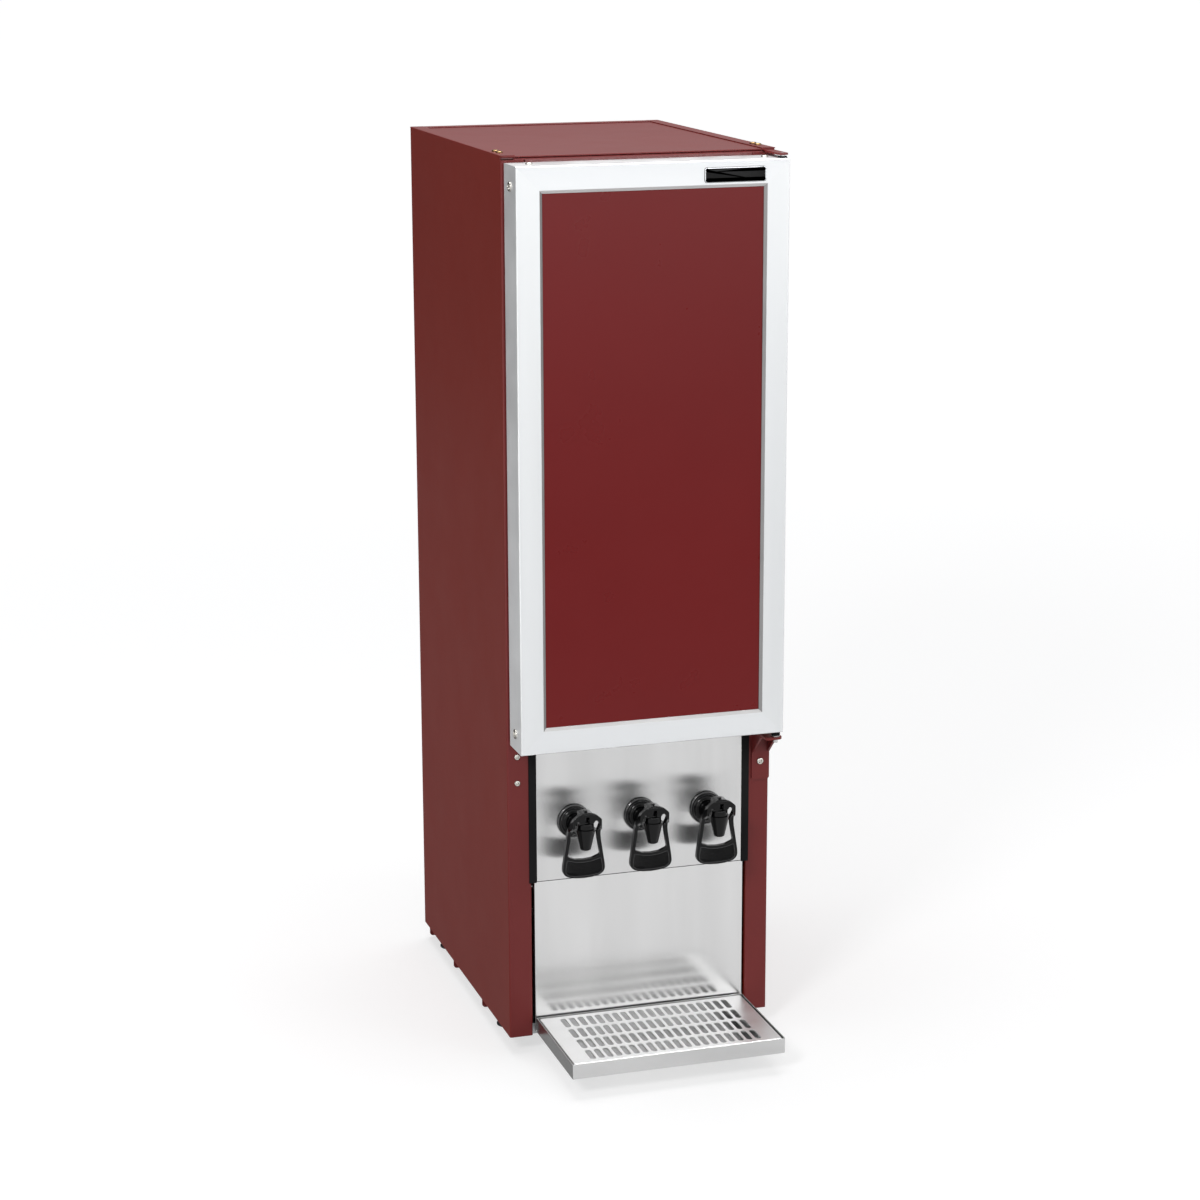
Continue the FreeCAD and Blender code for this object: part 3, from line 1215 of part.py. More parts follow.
def filter_drier():
    length = DRIER_Y[1] - DRIER_Y[0]
    r = DRIER_R
    z = PAN_TOP + r + 3
    body = turned([(0, 0), (2.5, 0), (2.5, 6), (r - 1, 14), (r, 18), (r, length - 18), (r - 1, length - 14),
                   (2.5, length - 6), (2.5, length), (0, length)], V(DRIER_X, DRIER_Y[0], z), (0, 1, 0))
    starts = [DRIER_Y[0] + 22, DRIER_Y[0] + 56]
    clips = [box((DRIER_X - 5, DRIER_X + 5), (y, y + 8), (PAN_TOP, z - r + 1.5)) for y in starts]
    return join([body] + clips)


def cable_gland():
    bore = GLAND_BORE_R
    outline = [(bore, -14), (GLAND_R - 1.4, -14), (GLAND_R, -SHEET), (GLAND_R, 0), (GLAND_R + 4, 0),
               (GLAND_R + 4, SHEET), (bore, SHEET)]
    return turned(outline, V(GLAND_X, REAR_FACE, GLAND_Z), (0, 1, 0))


def tell(name, shape):
    solids = shape if isinstance(shape, list) else [shape]
    whole = solids[0] if len(solids) == 1 else Part.makeCompound(solids)
    placed = whole.translated(V(0, -MIDDLE_Y, FOOT_H))
    placed.exportStep("parts/" + name + ".step")
    state = "ok" if placed.isValid() else "INVALID"
    print(name, len(placed.Solids), state, round(placed.Volume / 1000, 1), "cm3")


def build():
    os.makedirs("parts", exist_ok=True)
    right = side_panel()
    tell("side_panel_right", right)
    tell("side_panel_left", mirrored(right))
    tell("top_panel", top_panel())
    tell("rear_panel", rear_panel())
    tell("rear_grille", rear_grille())
    tell("front_header", front_header())
    tell("base_pan", base_pan())
    tell("base_cross_ribs", base_cross_ribs())
    tell("partition_plate", partition_plate())
    tell("insulation", insulation())
    tell("inner_liner", inner_liner())
    tell("breaker_strips", breaker_strips())
    tell("tap_panel", tap_panel())
    tell("splash_panel", splash_panel())
    tell("top_hinge_plate", top_hinge_plate())
    tell("lower_hinge_bracket", lower_hinge_bracket())
    tell("hinge_pins", hinge_pins())
    tell("cabinet_screws", cabinet_screws())
    tell("tray_arms", tray_arms())
    tell("wire_shelves", [shelf(z) for z in SHELF_Z])
    tell("shelf_runners", shelf_runners())
    tell("evaporator_plate", evaporator_plate())
    tell("thermostat_housing", thermostat_housing())
    tell("thermostat_knob", thermostat_knob())
    tell("compressor", compressor())
    tell("compressor_grommets", compressor_grommets())
    tell("condenser", condenser())
    tell("fan_shroud", fan_shroud())
    tell("fan_rotor", fan_rotor())
    tell("filter_drier", filter_drier())
    tell("cable_gland", cable_gland())
    tell("foot_nuts", [foot_nut(place) for place in foot_places()])
    for name, place in zip(("front_left", "front_right", "rear_left", "rear_right"), foot_places()):
        tell("levelling_foot_" + name, foot(place))
    for name, x in zip(("left", "middle", "right"), tap_places()):
        tell("tap_body_" + name, tap_body(x))
        tell("tap_stem_" + name, tap_stem(x))
        tell("tap_lever_" + name, tap_lever(x))
    tell("tap_collars", tap_collars())
    tell("tap_gaskets", tap_gaskets())
    tell("tap_back_nuts", tap_back_nuts())
    tell("tap_bonnets", tap_bonnets())
    tell("drip_tray", drip_tray())
    tell("drip_grille", drip_grille())
    tell("door_stiles", door_stiles())
    tell("door_rails", door_rails())
    tell("door_panel", door_panel())
    tell("door_insulation", door_insulation())
    tell("door_inner_panel", door_inner_panel())
    tell("door_gasket", door_gasket())
    tell("door_bushes", door_bushes())
    tell("door_screws", door_screws())
    tell("badge_plate", badge_plate())


build()
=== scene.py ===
import json
import math

import bmesh
import bpy
from mathutils import Matrix, Vector


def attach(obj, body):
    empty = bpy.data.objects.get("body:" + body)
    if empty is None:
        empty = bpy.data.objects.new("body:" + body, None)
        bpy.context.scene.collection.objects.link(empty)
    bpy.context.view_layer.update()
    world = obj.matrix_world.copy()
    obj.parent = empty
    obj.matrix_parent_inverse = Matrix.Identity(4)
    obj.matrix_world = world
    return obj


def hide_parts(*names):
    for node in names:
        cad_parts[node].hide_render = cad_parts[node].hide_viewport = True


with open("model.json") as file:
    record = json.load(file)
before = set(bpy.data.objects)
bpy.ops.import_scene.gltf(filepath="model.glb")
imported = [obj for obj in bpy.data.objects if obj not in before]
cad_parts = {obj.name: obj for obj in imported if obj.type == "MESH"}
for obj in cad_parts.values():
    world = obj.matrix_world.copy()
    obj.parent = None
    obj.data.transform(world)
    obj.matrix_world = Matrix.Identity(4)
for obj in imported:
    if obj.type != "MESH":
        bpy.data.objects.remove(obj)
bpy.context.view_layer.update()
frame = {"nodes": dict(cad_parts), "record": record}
nodes = frame["nodes"]
print("frame loaded:", len(nodes), "nodes")

# Pieces are modelled in millimetres from the cabinet's front bottom edge, then brought into the frame.
toFrame = Matrix.Translation((0, -0.1315, 0.022)) @ Matrix.Scale(0.001, 4)


def addCamera():
    view = {"place": (-0.986459, -3.155244, 1.316153), "heading": -17.258, "tilt": 76.153, "roll": -0.183,
            "lens": 86.89, "sensor": 36, "reach": 200}
    data = bpy.data.cameras.new("studioCamera")
    data.lens = view["lens"]
    data.sensor_width = view["sensor"]
    data.clip_end = view["reach"]
    camera = bpy.data.objects.new("studioCamera", data)
    heading, tilt, roll = [Matrix.Rotation(math.radians(view[angle]), 4, axis)
                           for angle, axis in (("heading", "Z"), ("tilt", "X"), ("roll", "Z"))]
    camera.matrix_world = Matrix.Translation(view["place"]) @ (heading @ tilt @ roll)
    bpy.context.scene.collection.objects.link(camera)
    bpy.context.scene.camera = camera


# Lamps: place, the point they face, size in metres and power in watts.
lamps = {
    "keyLamp": ((-2.2, -2.6, 2.6), (0, 0, 0.55), (0.8, 0.8), 50),
    "fillLamp": ((2.6, -2.4, 1.6), (0, 0, 0.5), (1.8, 2.2), 22),
    "frontLamp": ((2.3, -5.6, 1.2), (0, 0, 0.7), (2.2, 1.4), 8),
    "sideLamp": ((-1.9, 0.5, 0.35), (0, 0.1, 0.1), (1.2, 0.5), 8),
    "topLamp": ((0, 0.3, 3.2), (0, 0, 0.6), (2.2, 2.2), 42)}


def softLamp(name, place, target, size, power):
    data = bpy.data.lights.new(name, "AREA")
    data.shape = "RECTANGLE"
    data.size, data.size_y = size
    data.energy = power
    lamp = bpy.data.objects.new(name, data)
    lamp.location = place
    lamp.rotation_euler = (Vector(target) - Vector(place)).to_track_quat("-Z", "Y").to_euler()
    bpy.context.scene.collection.objects.link(lamp)


def seenDirectly(tree):
    # 1 for what the camera, gloss or glass sees, 0 for the light that falls on the object
    path = tree.nodes.new("ShaderNodeLightPath")
    glossy = tree.nodes.new("ShaderNodeMath")
    glossy.operation = "MAXIMUM"
    tree.links.new(path.outputs["Is Camera Ray"], glossy.inputs[0])
    tree.links.new(path.outputs["Is Glossy Ray"], glossy.inputs[1])
    clear = tree.nodes.new("ShaderNodeMath")
    clear.operation = "MAXIMUM"
    tree.links.new(glossy.outputs[0], clear.inputs[0])
    tree.links.new(path.outputs["Is Transmission Ray"], clear.inputs[1])
    return clear.outputs[0]


# The floor glows for the camera and for gloss, less near the cabinet than far from it, in metres.
studio = {"floorHalf": 40, "floorColour": 0.5, "nearGlow": 0.55, "farGlow": 0.8, "glowFrom": 0.3, "glowTo": 5,
          "ambient": 0.42, "ambientColour": (0.97, 0.98, 1, 1)}


def addStudio():
    world = bpy.data.worlds.new("studioWorld")
    bpy.context.scene.world = world
    world.use_nodes = True
    tree = world.node_tree
    tree.nodes.clear()
    out = tree.nodes.new("ShaderNodeOutputWorld")
    mix = tree.nodes.new("ShaderNodeMixShader")
    seen = tree.nodes.new("ShaderNodeBackground")
    seen.inputs["Color"].default_value = (1, 1, 1, 1)
    seen.inputs["Strength"].default_value = 1
    cast = tree.nodes.new("ShaderNodeBackground")
    cast.inputs["Color"].default_value = studio["ambientColour"]
    cast.inputs["Strength"].default_value = studio["ambient"]
    tree.links.new(seenDirectly(tree), mix.inputs[0])
    tree.links.new(cast.outputs[0], mix.inputs[1])
    tree.links.new(seen.outputs[0], mix.inputs[2])
    tree.links.new(mix.outputs[0], out.inputs[0])

    bm = bmesh.new()
    bmesh.ops.create_grid(bm, x_segments=4, y_segments=4, size=studio["floorHalf"])
    mesh = bpy.data.meshes.new("studioFloor")
    bm.to_mesh(mesh)
    bm.free()
    floor = bpy.data.objects.new("studioFloor", mesh)
    bpy.context.scene.collection.objects.link(floor)
    material = bpy.data.materials.new("studioFloor")
    material.use_nodes = True
    tree = material.node_tree
    tree.nodes.clear()
    out = tree.nodes.new("ShaderNodeOutputMaterial")
    diffuse = tree.nodes.new("ShaderNodeBsdfDiffuse")
    diffuse.inputs["Color"].default_value = (*[studio["floorColour"]] * 3, 1)
    glow = tree.nodes.new("ShaderNodeEmission")
    reach = tree.nodes.new("ShaderNodeVectorMath")
    reach.operation = "LENGTH"
    tree.links.new(tree.nodes.new("ShaderNodeTexCoord").outputs["Object"], reach.inputs[0])
    fade = tree.nodes.new("ShaderNodeMapRange")
    fade.interpolation_type = "SMOOTHSTEP"
    fade.inputs["From Min"].default_value = studio["glowFrom"]
    fade.inputs["From Max"].default_value = studio["glowTo"]
    fade.inputs["To Min"].default_value = studio["nearGlow"]
    fade.inputs["To Max"].default_value = studio["farGlow"]
    tree.links.new(reach.outputs["Value"], fade.inputs["Value"])
    strength = tree.nodes.new("ShaderNodeMath")
    strength.operation = "MULTIPLY"
    tree.links.new(seenDirectly(tree), strength.inputs[0])
    tree.links.new(fade.outputs[0], strength.inputs[1])
    tree.links.new(strength.outputs[0], glow.inputs["Strength"])
    both = tree.nodes.new("ShaderNodeAddShader")
    tree.links.new(diffuse.outputs[0], both.inputs[0])
    tree.links.new(glow.outputs[0], both.inputs[1])
    tree.links.new(both.outputs[0], out.inputs[0])
    mesh.materials.append(material)


# Cards: place, half size in metres, turn in degrees about x, y and z, and brightness.
cards = {
    "darkCardLeft": ((-1.3, 1.7, 1.2), (1.6, 1.5), (90, 0, 60), 0.08),
    "darkCardFloor": ((-1.528, 1.2, 0.002), (1.4, 1.5), (0, 0, 0), 0.3),
    "darkCardFront": ((0.7, -3.3, 0.002), (1.8, 1.5), (0, 0, 0), 0.5),
    "greyCardBack": ((1.6, 4.5, 2.4), (5, 2.4), (90, 0, 0), 0.42),
    "brightCardFront": ((-1.5, -9, 1.75), (6, 1.6), (90, 0, 0), 2.4),
    "glintCardTop": ((0.3, 0, 3.4), (0.9, 0.7), (0, 0, 0), 14)}


def addCard(name, place, half, turn, shade):
    # a card that only gloss sees, as it is set up round shiny goods in a studio
    bm = bmesh.new()
    bmesh.ops.create_grid(bm, x_segments=1, y_segments=1, size=1)
    bmesh.ops.scale(bm, verts=bm.verts, vec=(half[0], half[1], 1))
    for angle, axis in zip(turn, "XYZ"):
        bmesh.ops.rotate(bm, verts=bm.verts, matrix=Matrix.Rotation(math.radians(angle), 3, axis))
    bmesh.ops.translate(bm, verts=bm.verts, vec=place)
    mesh = bpy.data.meshes.new(name)
    bm.to_mesh(mesh)
    bm.free()
    card = bpy.data.objects.new(name, mesh)
    bpy.context.scene.collection.objects.link(card)
    material = bpy.data.materials.new(name)
    material.use_nodes = True
    tree = material.node_tree
    tree.nodes.clear()
    glow = tree.nodes.new("ShaderNodeEmission")
    glow.inputs["Strength"].default_value = shade
    tree.links.new(glow.outputs[0], tree.nodes.new("ShaderNodeOutputMaterial").inputs[0])
    mesh.materials.append(material)
    card.visible_camera = False
    card.visible_diffuse = False
    card.visible_shadow = False
    card.visible_transmission = False


for name, card in cards.items():
    addCard(name, *card)
addCamera()
addStudio()
for name, lamp in lamps.items():
    softLamp(name, *lamp)
bpy.context.scene.view_settings.view_transform = "Standard"
print("studio ready")


def linear(red, green, blue):
    def step(value):
        value /= 255
        return value / 12.92 if value <= 0.04045 else ((value + 0.055) / 1.055) ** 2.4
    return (step(red), step(green), step(blue), 1)


noiseStart = (3.17, 5.31, 1.93)  # well away from the origin, so that no piece sits on the noise's centre


def noiseOf(tree, source, scale, detail, stretch):
    mapping = tree.nodes.new("ShaderNodeMapping")
    mapping.inputs["Location"].default_value = noiseStart
    mapping.inputs["Scale"].default_value = stretch
    tree.links.new(source, mapping.inputs["Vector"])
    noise = tree.nodes.new("ShaderNodeTexNoise")
    noise.inputs["Scale"].default_value = scale
    noise.inputs["Detail"].default_value = detail
    noise.inputs["Roughness"].default_value = 0.55
    tree.links.new(mapping.outputs[0], noise.inputs["Vector"])
    return noise.outputs["Fac"]


def cellsOf(tree, source, scale, output, stretch):
    mapping = tree.nodes.new("ShaderNodeMapping")
    mapping.inputs["Scale"].default_value = stretch
    tree.links.new(source, mapping.inputs["Vector"])
    cells = tree.nodes.new("ShaderNodeTexVoronoi")
    cells.inputs["Scale"].default_value = scale
    tree.links.new(mapping.outputs[0], cells.inputs["Vector"])
    return cells.outputs[output]


def spread(tree, value, low, high, start=0.3, end=0.7):
    # a noise value stretched over a range
    span = tree.nodes.new("ShaderNodeMapRange")
    span.inputs["From Min"].default_value = start
    span.inputs["From Max"].default_value = end
    span.inputs["To Min"].default_value = low
    span.inputs["To Max"].default_value = high
    tree.links.new(value, span.inputs["Value"])
    return span.outputs[0]


def blendOf(tree, value, first, second):
    mix = tree.nodes.new("ShaderNodeMix")
    mix.data_type = "RGBA"
    mix.inputs[6].default_value = first
    mix.inputs[7].default_value = second
    tree.links.new(value, mix.inputs[0])
    return mix.outputs[2]


def finishOf(name, look):
    # two tones and two grades of gloss, each mixed by noise, over rows of fine relief
    material = bpy.data.materials.new(name)
    material.use_nodes = True
    tree = material.node_tree
    shader = tree.nodes["Principled BSDF"]
    place = tree.nodes.new("ShaderNodeTexCoord").outputs["Object"]
    stretch = look.get("stretch", (1, 1, 1))
    if look.get("cells"):
        tone = cellsOf(tree, place, look["cells"], "Color", stretch)
        tone = spread(tree, tone, 0, 1, 0.1, 0.9)
    else:
        tone = spread(tree, noiseOf(tree, place, look["toneScale"], 4, stretch), 0, 1)
    tree.links.new(blendOf(tree, tone, *look["colours"]), shader.inputs["Base Color"])
    low, high = look["gloss"]
    shine = noiseOf(tree, place, look.get("glossScale", 30), 4, look.get("glossStretch", stretch))
    tree.links.new(spread(tree, shine, low, high), shader.inputs["Roughness"])
    shader.inputs["Metallic"].default_value = look.get("metal", 0)
    for socket, value in look.get("extras", {}).items():
        shader.inputs[socket].default_value = value
    if look.get("brushed"):
        grain = tree.nodes.new("ShaderNodeTangent")
        grain.direction_type = "UV_MAP"
        grain.uv_map = "grain"
        tree.links.new(grain.outputs[0], shader.inputs["Tangent"])
    normal = None
    for scale, along, depth, detail in look["relief"]:
        bump = tree.nodes.new("ShaderNodeBump")
        bump.inputs["Strength"].default_value = 1
        bump.inputs["Distance"].default_value = depth / 1000
        if detail == "cells":
            height = cellsOf(tree, place, scale, "Distance", along)
        else:
            height = noiseOf(tree, place, scale, detail, along)
        tree.links.new(height, bump.inputs["Height"])
        if normal:
            tree.links.new(normal, bump.inputs["Normal"])
        normal = bump.outputs[0]
    tree.links.new(normal, shader.inputs["Normal"])
    return material


# Finishes. Each row of relief is its scale, stretch, depth in mm and detail.
looks = {
    "cabinetPaint": {
        "colours": (linear(112, 36, 35), linear(115, 38, 37)), "toneScale": 5, "gloss": (0.4, 0.44),
        "glossScale": 12, "extras": {"Specular IOR Level": 0.27},
        "relief": [(700, (1, 1, 1), 0.02, 2), (40, (1, 1, 1), 0.02, 1)]},
    # painted reflection: the cabinet paint made lighter and glossier for the front header, standing in for
    # the bright door top reflected in it
    "headerPaint": {
        "colours": (linear(116, 42, 42), linear(119, 44, 44)), "toneScale": 5, "gloss": (0.26, 0.32),
        "glossScale": 12, "extras": {"Specular IOR Level": 0.6},
        "relief": [(700, (1, 1, 1), 0.02, 2), (40, (1, 1, 1), 0.02, 1)]},
    # painted shade: the cabinet paint again, darker and warmer and with less shine, for the broad faces of
    # the side panels
    "sidePaintedShade": {
        "colours": (linear(110, 32, 24), linear(113, 34, 26)), "toneScale": 5, "gloss": (0.4, 0.44),
        "glossScale": 12, "extras": {"Specular IOR Level": 0.12},
        "relief": [(700, (1, 1, 1), 0.02, 2), (40, (1, 1, 1), 0.02, 1)]},
    "doorPaint": {
        "colours": (linear(114, 12, 14), linear(117, 14, 16)), "toneScale": 6, "gloss": (0.27, 0.3),
        "glossScale": 14, "extras": {"Specular IOR Level": 0.25},
        "relief": [(1100, (1, 1, 1), 0.01, 2), (60, (1, 1, 1), 0.006, 1)]},
    "uprightAluminium": {
        "colours": (linear(216, 218, 220), linear(225, 227, 228)), "toneScale": 12, "gloss": (0.36, 0.46),
        "metal": 0.55, "stretch": (1, 1, 0.05), "relief": [(1500, (1, 1, 0.01), 0.01, 3)]},
    "crossAluminium": {
        "colours": (linear(220, 222, 224), linear(229, 231, 232)), "toneScale": 12, "gloss": (0.36, 0.46),
        "metal": 0.55, "stretch": (0.05, 1, 1), "relief": [(1500, (0.01, 1, 1), 0.01, 3)]},
    # The next four are copies of the frame's one aluminium painted for the light: the rails' edge faces
    # darker (painted shade), the stiles' edge faces lighter (painted light), and the inner bead darker than
    # the face, on the stiles far more than on the rails (painted shade).
    "edgeAluminiumShaded": {
        "colours": (linear(208, 209, 210), linear(220, 221, 222)), "toneScale": 14, "gloss": (0.34, 0.42),
        "metal": 0.92, "relief": [(1500, (1, 0.01, 1), 0.01, 3)]},
    "sideAluminiumLit": {
        "colours": (linear(226, 227, 228), linear(236, 237, 238)), "toneScale": 14, "gloss": (0.36, 0.44),
        "metal": 0.62, "relief": [(1500, (1, 1, 0.01), 0.01, 3)]},
    "uprightBeadShaded": {
        "colours": (linear(134, 133, 133), linear(145, 144, 144)), "toneScale": 14, "gloss": (0.32, 0.4),
        "metal": 0.82, "relief": [(900, (1, 1, 1), 0.01, 3)]},
    "crossBeadShaded": {
        "colours": (linear(190, 189, 189), linear(202, 201, 201)), "toneScale": 14, "gloss": (0.34, 0.42),
        "metal": 0.7, "relief": [(900, (1, 1, 1), 0.01, 3)]},
    "panelSteel": {
        "colours": (linear(200, 200, 200), linear(219, 219, 219)), "toneScale": 9, "gloss": (0.17, 0.22),
        "glossScale": 14, "metal": 1, "stretch": (1, 1, 0.12), "extras": {"Anisotropic": 0.6},
        "brushed": True, "relief": [(2600, (1, 1, 0.008), 0.005, 3)]},
    "tapSteel": {
        "colours": (linear(194, 194, 194), linear(214, 214, 214)), "toneScale": 9, "gloss": (0.21, 0.26),
        "glossScale": 14, "metal": 1, "stretch": (1, 1, 0.12), "extras": {"Anisotropic": 0.95},
        "brushed": True, "relief": [(2600, (1, 1, 0.008), 0.005, 3)]},
    # painted shadow: a dark finish for the band at the tap panel's lower edge, where the gap above the splash
    # panel is in shade
    "paintedShadowLine": {
        "colours": (linear(44, 44, 46), linear(62, 62, 64)), "toneScale": 120, "gloss": (0.45, 0.55),
        "metal": 0.3, "stretch": (0.2, 1, 1), "relief": [(900, (1, 1, 1), 0.01, 2)]},
    "traySteel": {
        "colours": (linear(187, 187, 187), linear(203, 203, 203)), "toneScale": 18, "gloss": (0.2, 0.28),
        "glossScale": 40, "metal": 1, "stretch": (0.25, 1, 1), "relief": [(2400, (0.01, 1, 1), 0.004, 3)]},
    "grilleSteel": {
        "colours": (linear(228, 228, 228), linear(238, 238, 238)), "toneScale": 14, "gloss": (0.36, 0.42),
        "glossScale": 40, "metal": 1, "stretch": (0.25, 1, 1), "relief": [(2400, (0.01, 1, 1), 0.003, 2)]},
    "stripPlastic": {
        "colours": (linear(28, 28, 29), linear(33, 33, 34)), "toneScale": 20, "gloss": (0.5, 0.62),
        "extras": {"Specular IOR Level": 0.04}, "relief": [(900, (1, 1, 1), 0.02, 2)]},
    "tapPlastic": {
        "colours": (linear(5, 5, 6), linear(9, 9, 10)), "toneScale": 60, "gloss": (0.1, 0.16),
        "extras": {"Specular IOR Level": 0.2}, "relief": [(500, (1, 1, 1), 0.01, 2)]},
    # painted highlight: a lighter, glossier black for the tap plastics' edges and rims, standing in for the
    # highlights along them
    "tapPaintedHighlight": {
        "colours": (linear(34, 34, 35), linear(50, 50, 51)), "toneScale": 120, "gloss": (0.12, 0.2),
        "extras": {"Specular IOR Level": 0.8}, "relief": [(500, (1, 1, 1), 0.01, 2)]},
    "gripPlastic": {
        "colours": (linear(7, 7, 8), linear(12, 12, 13)), "toneScale": 60, "gloss": (0.16, 0.22),
        "extras": {"Specular IOR Level": 0.16}, "relief": [(700, (1, 1, 1), 0.02, 2)]},
    "blackSteel": {
        "colours": (linear(40, 40, 42), linear(56, 56, 58)), "toneScale": 300, "gloss": (0.3, 0.4),
        "metal": 0.8, "relief": [(1600, (1, 1, 0.1), 0.008, 2)]},
    "badgeGloss": {
        "colours": (linear(6, 6, 7), linear(10, 10, 12)), "toneScale": 90, "gloss": (0.06, 0.1),
        "extras": {"Specular IOR Level": 0.14}, "relief": [(120, (1, 1, 1), 0.02, 1)]},
    # painted highlight: bright metal for the band round the badge's field, standing in for the gloss along
    # the dome's edge
    "badgeRimHighlight": {
        "colours": (linear(196, 198, 202), linear(214, 216, 219)), "toneScale": 200, "gloss": (0.12, 0.2),
        "metal": 1, "relief": [(900, (1, 1, 1), 0.01, 2)]},
    "screwSteel": {
        "colours": (linear(168, 166, 160), linear(206, 203, 196)), "toneScale": 600, "gloss": (0.16, 0.3),
        "glossScale": 900, "metal": 1, "relief": [(1800, (1, 1, 1), 0.01, 2)]},
    "screwZinc": {
        "colours": (linear(112, 88, 60), linear(146, 118, 82)), "toneScale": 400, "gloss": (0.2, 0.34),
        "glossScale": 900, "metal": 1, "relief": [(1800, (1, 1, 1), 0.01, 2)]},
    "pinSteel": {
        "colours": (linear(168, 168, 168), linear(204, 204, 204)), "toneScale": 260, "gloss": (0.2, 0.34),
        "metal": 1, "relief": [(1600, (1, 1, 0.1), 0.008, 2)]},
    "galvanisedSheet": {
        "colours": (linear(150, 153, 155), linear(190, 193, 195)), "cells": 90, "gloss": (0.34, 0.5),
        "metal": 1, "relief": [(300, (1, 1, 1), 0.02, 2)]},
    "foamCore": {
        "colours": (linear(206, 190, 148), linear(228, 214, 176)), "toneScale": 40, "gloss": (0.8, 0.95),
        "relief": [(600, (1, 1, 1), 0.3, "cells")]},
    "linerPlastic": {
        "colours": (linear(226, 228, 228), linear(236, 238, 238)), "toneScale": 8, "gloss": (0.34, 0.44),
        "relief": [(260, (1, 1, 1), 0.04, 2)]},
    "dialPlastic": {
        "colours": (linear(206, 208, 208), linear(216, 218, 218)), "toneScale": 40, "gloss": (0.28, 0.36),
        "relief": [(600, (1, 1, 1), 0.02, 2)]},
    "dialPrint": {
        "colours": (linear(40, 44, 52), linear(52, 56, 64)), "toneScale": 300, "gloss": (0.4, 0.5),
        "relief": [(900, (1, 1, 1), 0.01, 2)]},
    "shelfWire": {
        "colours": (linear(228, 229, 228), linear(240, 241, 240)), "toneScale": 30, "gloss": (0.26, 0.36),
        "relief": [(500, (1, 1, 1), 0.02, 2)]},
    "evaporatorSheet": {
        "colours": (linear(196, 199, 201), linear(208, 210, 212)), "toneScale": 24, "gloss": (0.36, 0.5),
        "metal": 1, "relief": [(90, (1, 1, 1), 0.04, 2)]},
    "compressorPaint": {
        "colours": (linear(22, 22, 23), linear(30, 30, 31)), "toneScale": 20, "gloss": (0.3, 0.42),
        "relief": [(300, (1, 1, 1), 0.06, 2)]},
    "blackRubber": {
        "colours": (linear(26, 26, 27), linear(36, 36, 37)), "toneScale": 60, "gloss": (0.62, 0.78),
        "extras": {"Specular IOR Level": 0.2}, "relief": [(900, (1, 1, 1), 0.03, 3)]},
    "pipeCopper": {
        "colours": (linear(168, 98, 66), linear(206, 134, 96)), "toneScale": 60, "gloss": (0.26, 0.42),
        "metal": 1, "relief": [(400, (1, 1, 1), 0.03, 2)]},
    "footPlastic": {
        "colours": (linear(24, 24, 25), linear(34, 34, 35)), "toneScale": 50, "gloss": (0.42, 0.56),
        "extras": {"Specular IOR Level": 0.25}, "relief": [(800, (1, 1, 1), 0.03, 2)]},
}
finishes = {name: finishOf(name, look) for name, look in looks.items()}

# The finish of each material slot, and of the nodes that differ from their slot.
slotFinish = {
    "red_steel": "cabinetPaint", "galvanised": "galvanisedSheet", "door_red": "doorPaint",
    "door_aluminium": "uprightAluminium", "foam": "foamCore", "white_plastic": "linerPlastic",
    "strip_black": "stripPlastic", "stainless": "panelSteel", "pin_steel": "pinSteel",
    "white_wire": "shelfWire", "cooling_aluminium": "evaporatorSheet", "compressor_black": "compressorPaint",
    "rubber": "blackRubber", "copper": "pipeCopper", "foot_plastic": "footPlastic",
    "tap_black": "tapPlastic", "badge_black": "badgeGloss"}
# the front header takes the lightened paint as a painted reflection
nodeFinish = {
    "door_rails": "crossAluminium", "tap_stem_left": "blackSteel", "tap_stem_middle": "blackSteel",
    "tap_stem_right": "blackSteel", "drip_tray": "traySteel", "drip_grille": "grilleSteel",
    "cabinet_screws": "screwSteel", "door_screws": "screwSteel", "front_header": "headerPaint"}
for row in frame["record"]["subparts"]:
    nodeFinish.setdefault(row["node"], slotFinish[row["material_slot"]])
for name, node in nodes.items():
    node.data.materials.clear()
    node.data.materials.append(finishes[nodeFinish[name]])
print("finishes ready:", len(finishes))


def keep(bm, name, body, finish, replaces=(), inFrame=False, sharpAt=35, weighted=True):
    # a finished bmesh becomes a piece that rides on its body; a list of finishes goes by face material
    if not inFrame:
        bmesh.ops.transform(bm, matrix=toFrame, verts=bm.verts)
    mesh = bpy.data.meshes.new(name)
    bm.to_mesh(mesh)
    bm.free()
    for one in [finish] if isinstance(finish, str) else finish:
        mesh.materials.append(finishes[one])
    mesh.shade_smooth()
    mesh.set_sharp_from_angle(angle=math.radians(sharpAt))
    piece = bpy.data.objects.new(name, mesh)
    bpy.context.scene.collection.objects.link(piece)
    if weighted:
        shade = piece.modifiers.new("evenNormals", "WEIGHTED_NORMAL")
        shade.keep_sharp = True
    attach(piece, body)
    if replaces:
        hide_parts(*replaces)


def bodyOf(node):
    for name, members in frame["record"]["behaviour"]["bodies"].items():
        if node in members:
            return name


def shapeOf(node):
    # a merged copy of a node's mesh, its flat faces made whole
    bm = bmesh.new()
    bm.from_mesh(nodes[node].data)
    bmesh.ops.remove_doubles(bm, verts=bm.verts, dist=2e-6)
    bmesh.ops.dissolve_limit(bm, angle_limit=math.radians(1), verts=bm.verts, edges=bm.edges,
                             delimit={"NORMAL"})
    return bm


def grainMap(bm):
    # a map of width against height, so that the brushing runs upwards; depth keeps the bends apart
    layer = bm.loops.layers.uv.new("grain")
    for face in bm.faces:
        for loop in face.loops:
            x, y, z = loop.vert.co
            loop[layer].uv = (x + y, z + 0.3 * y)


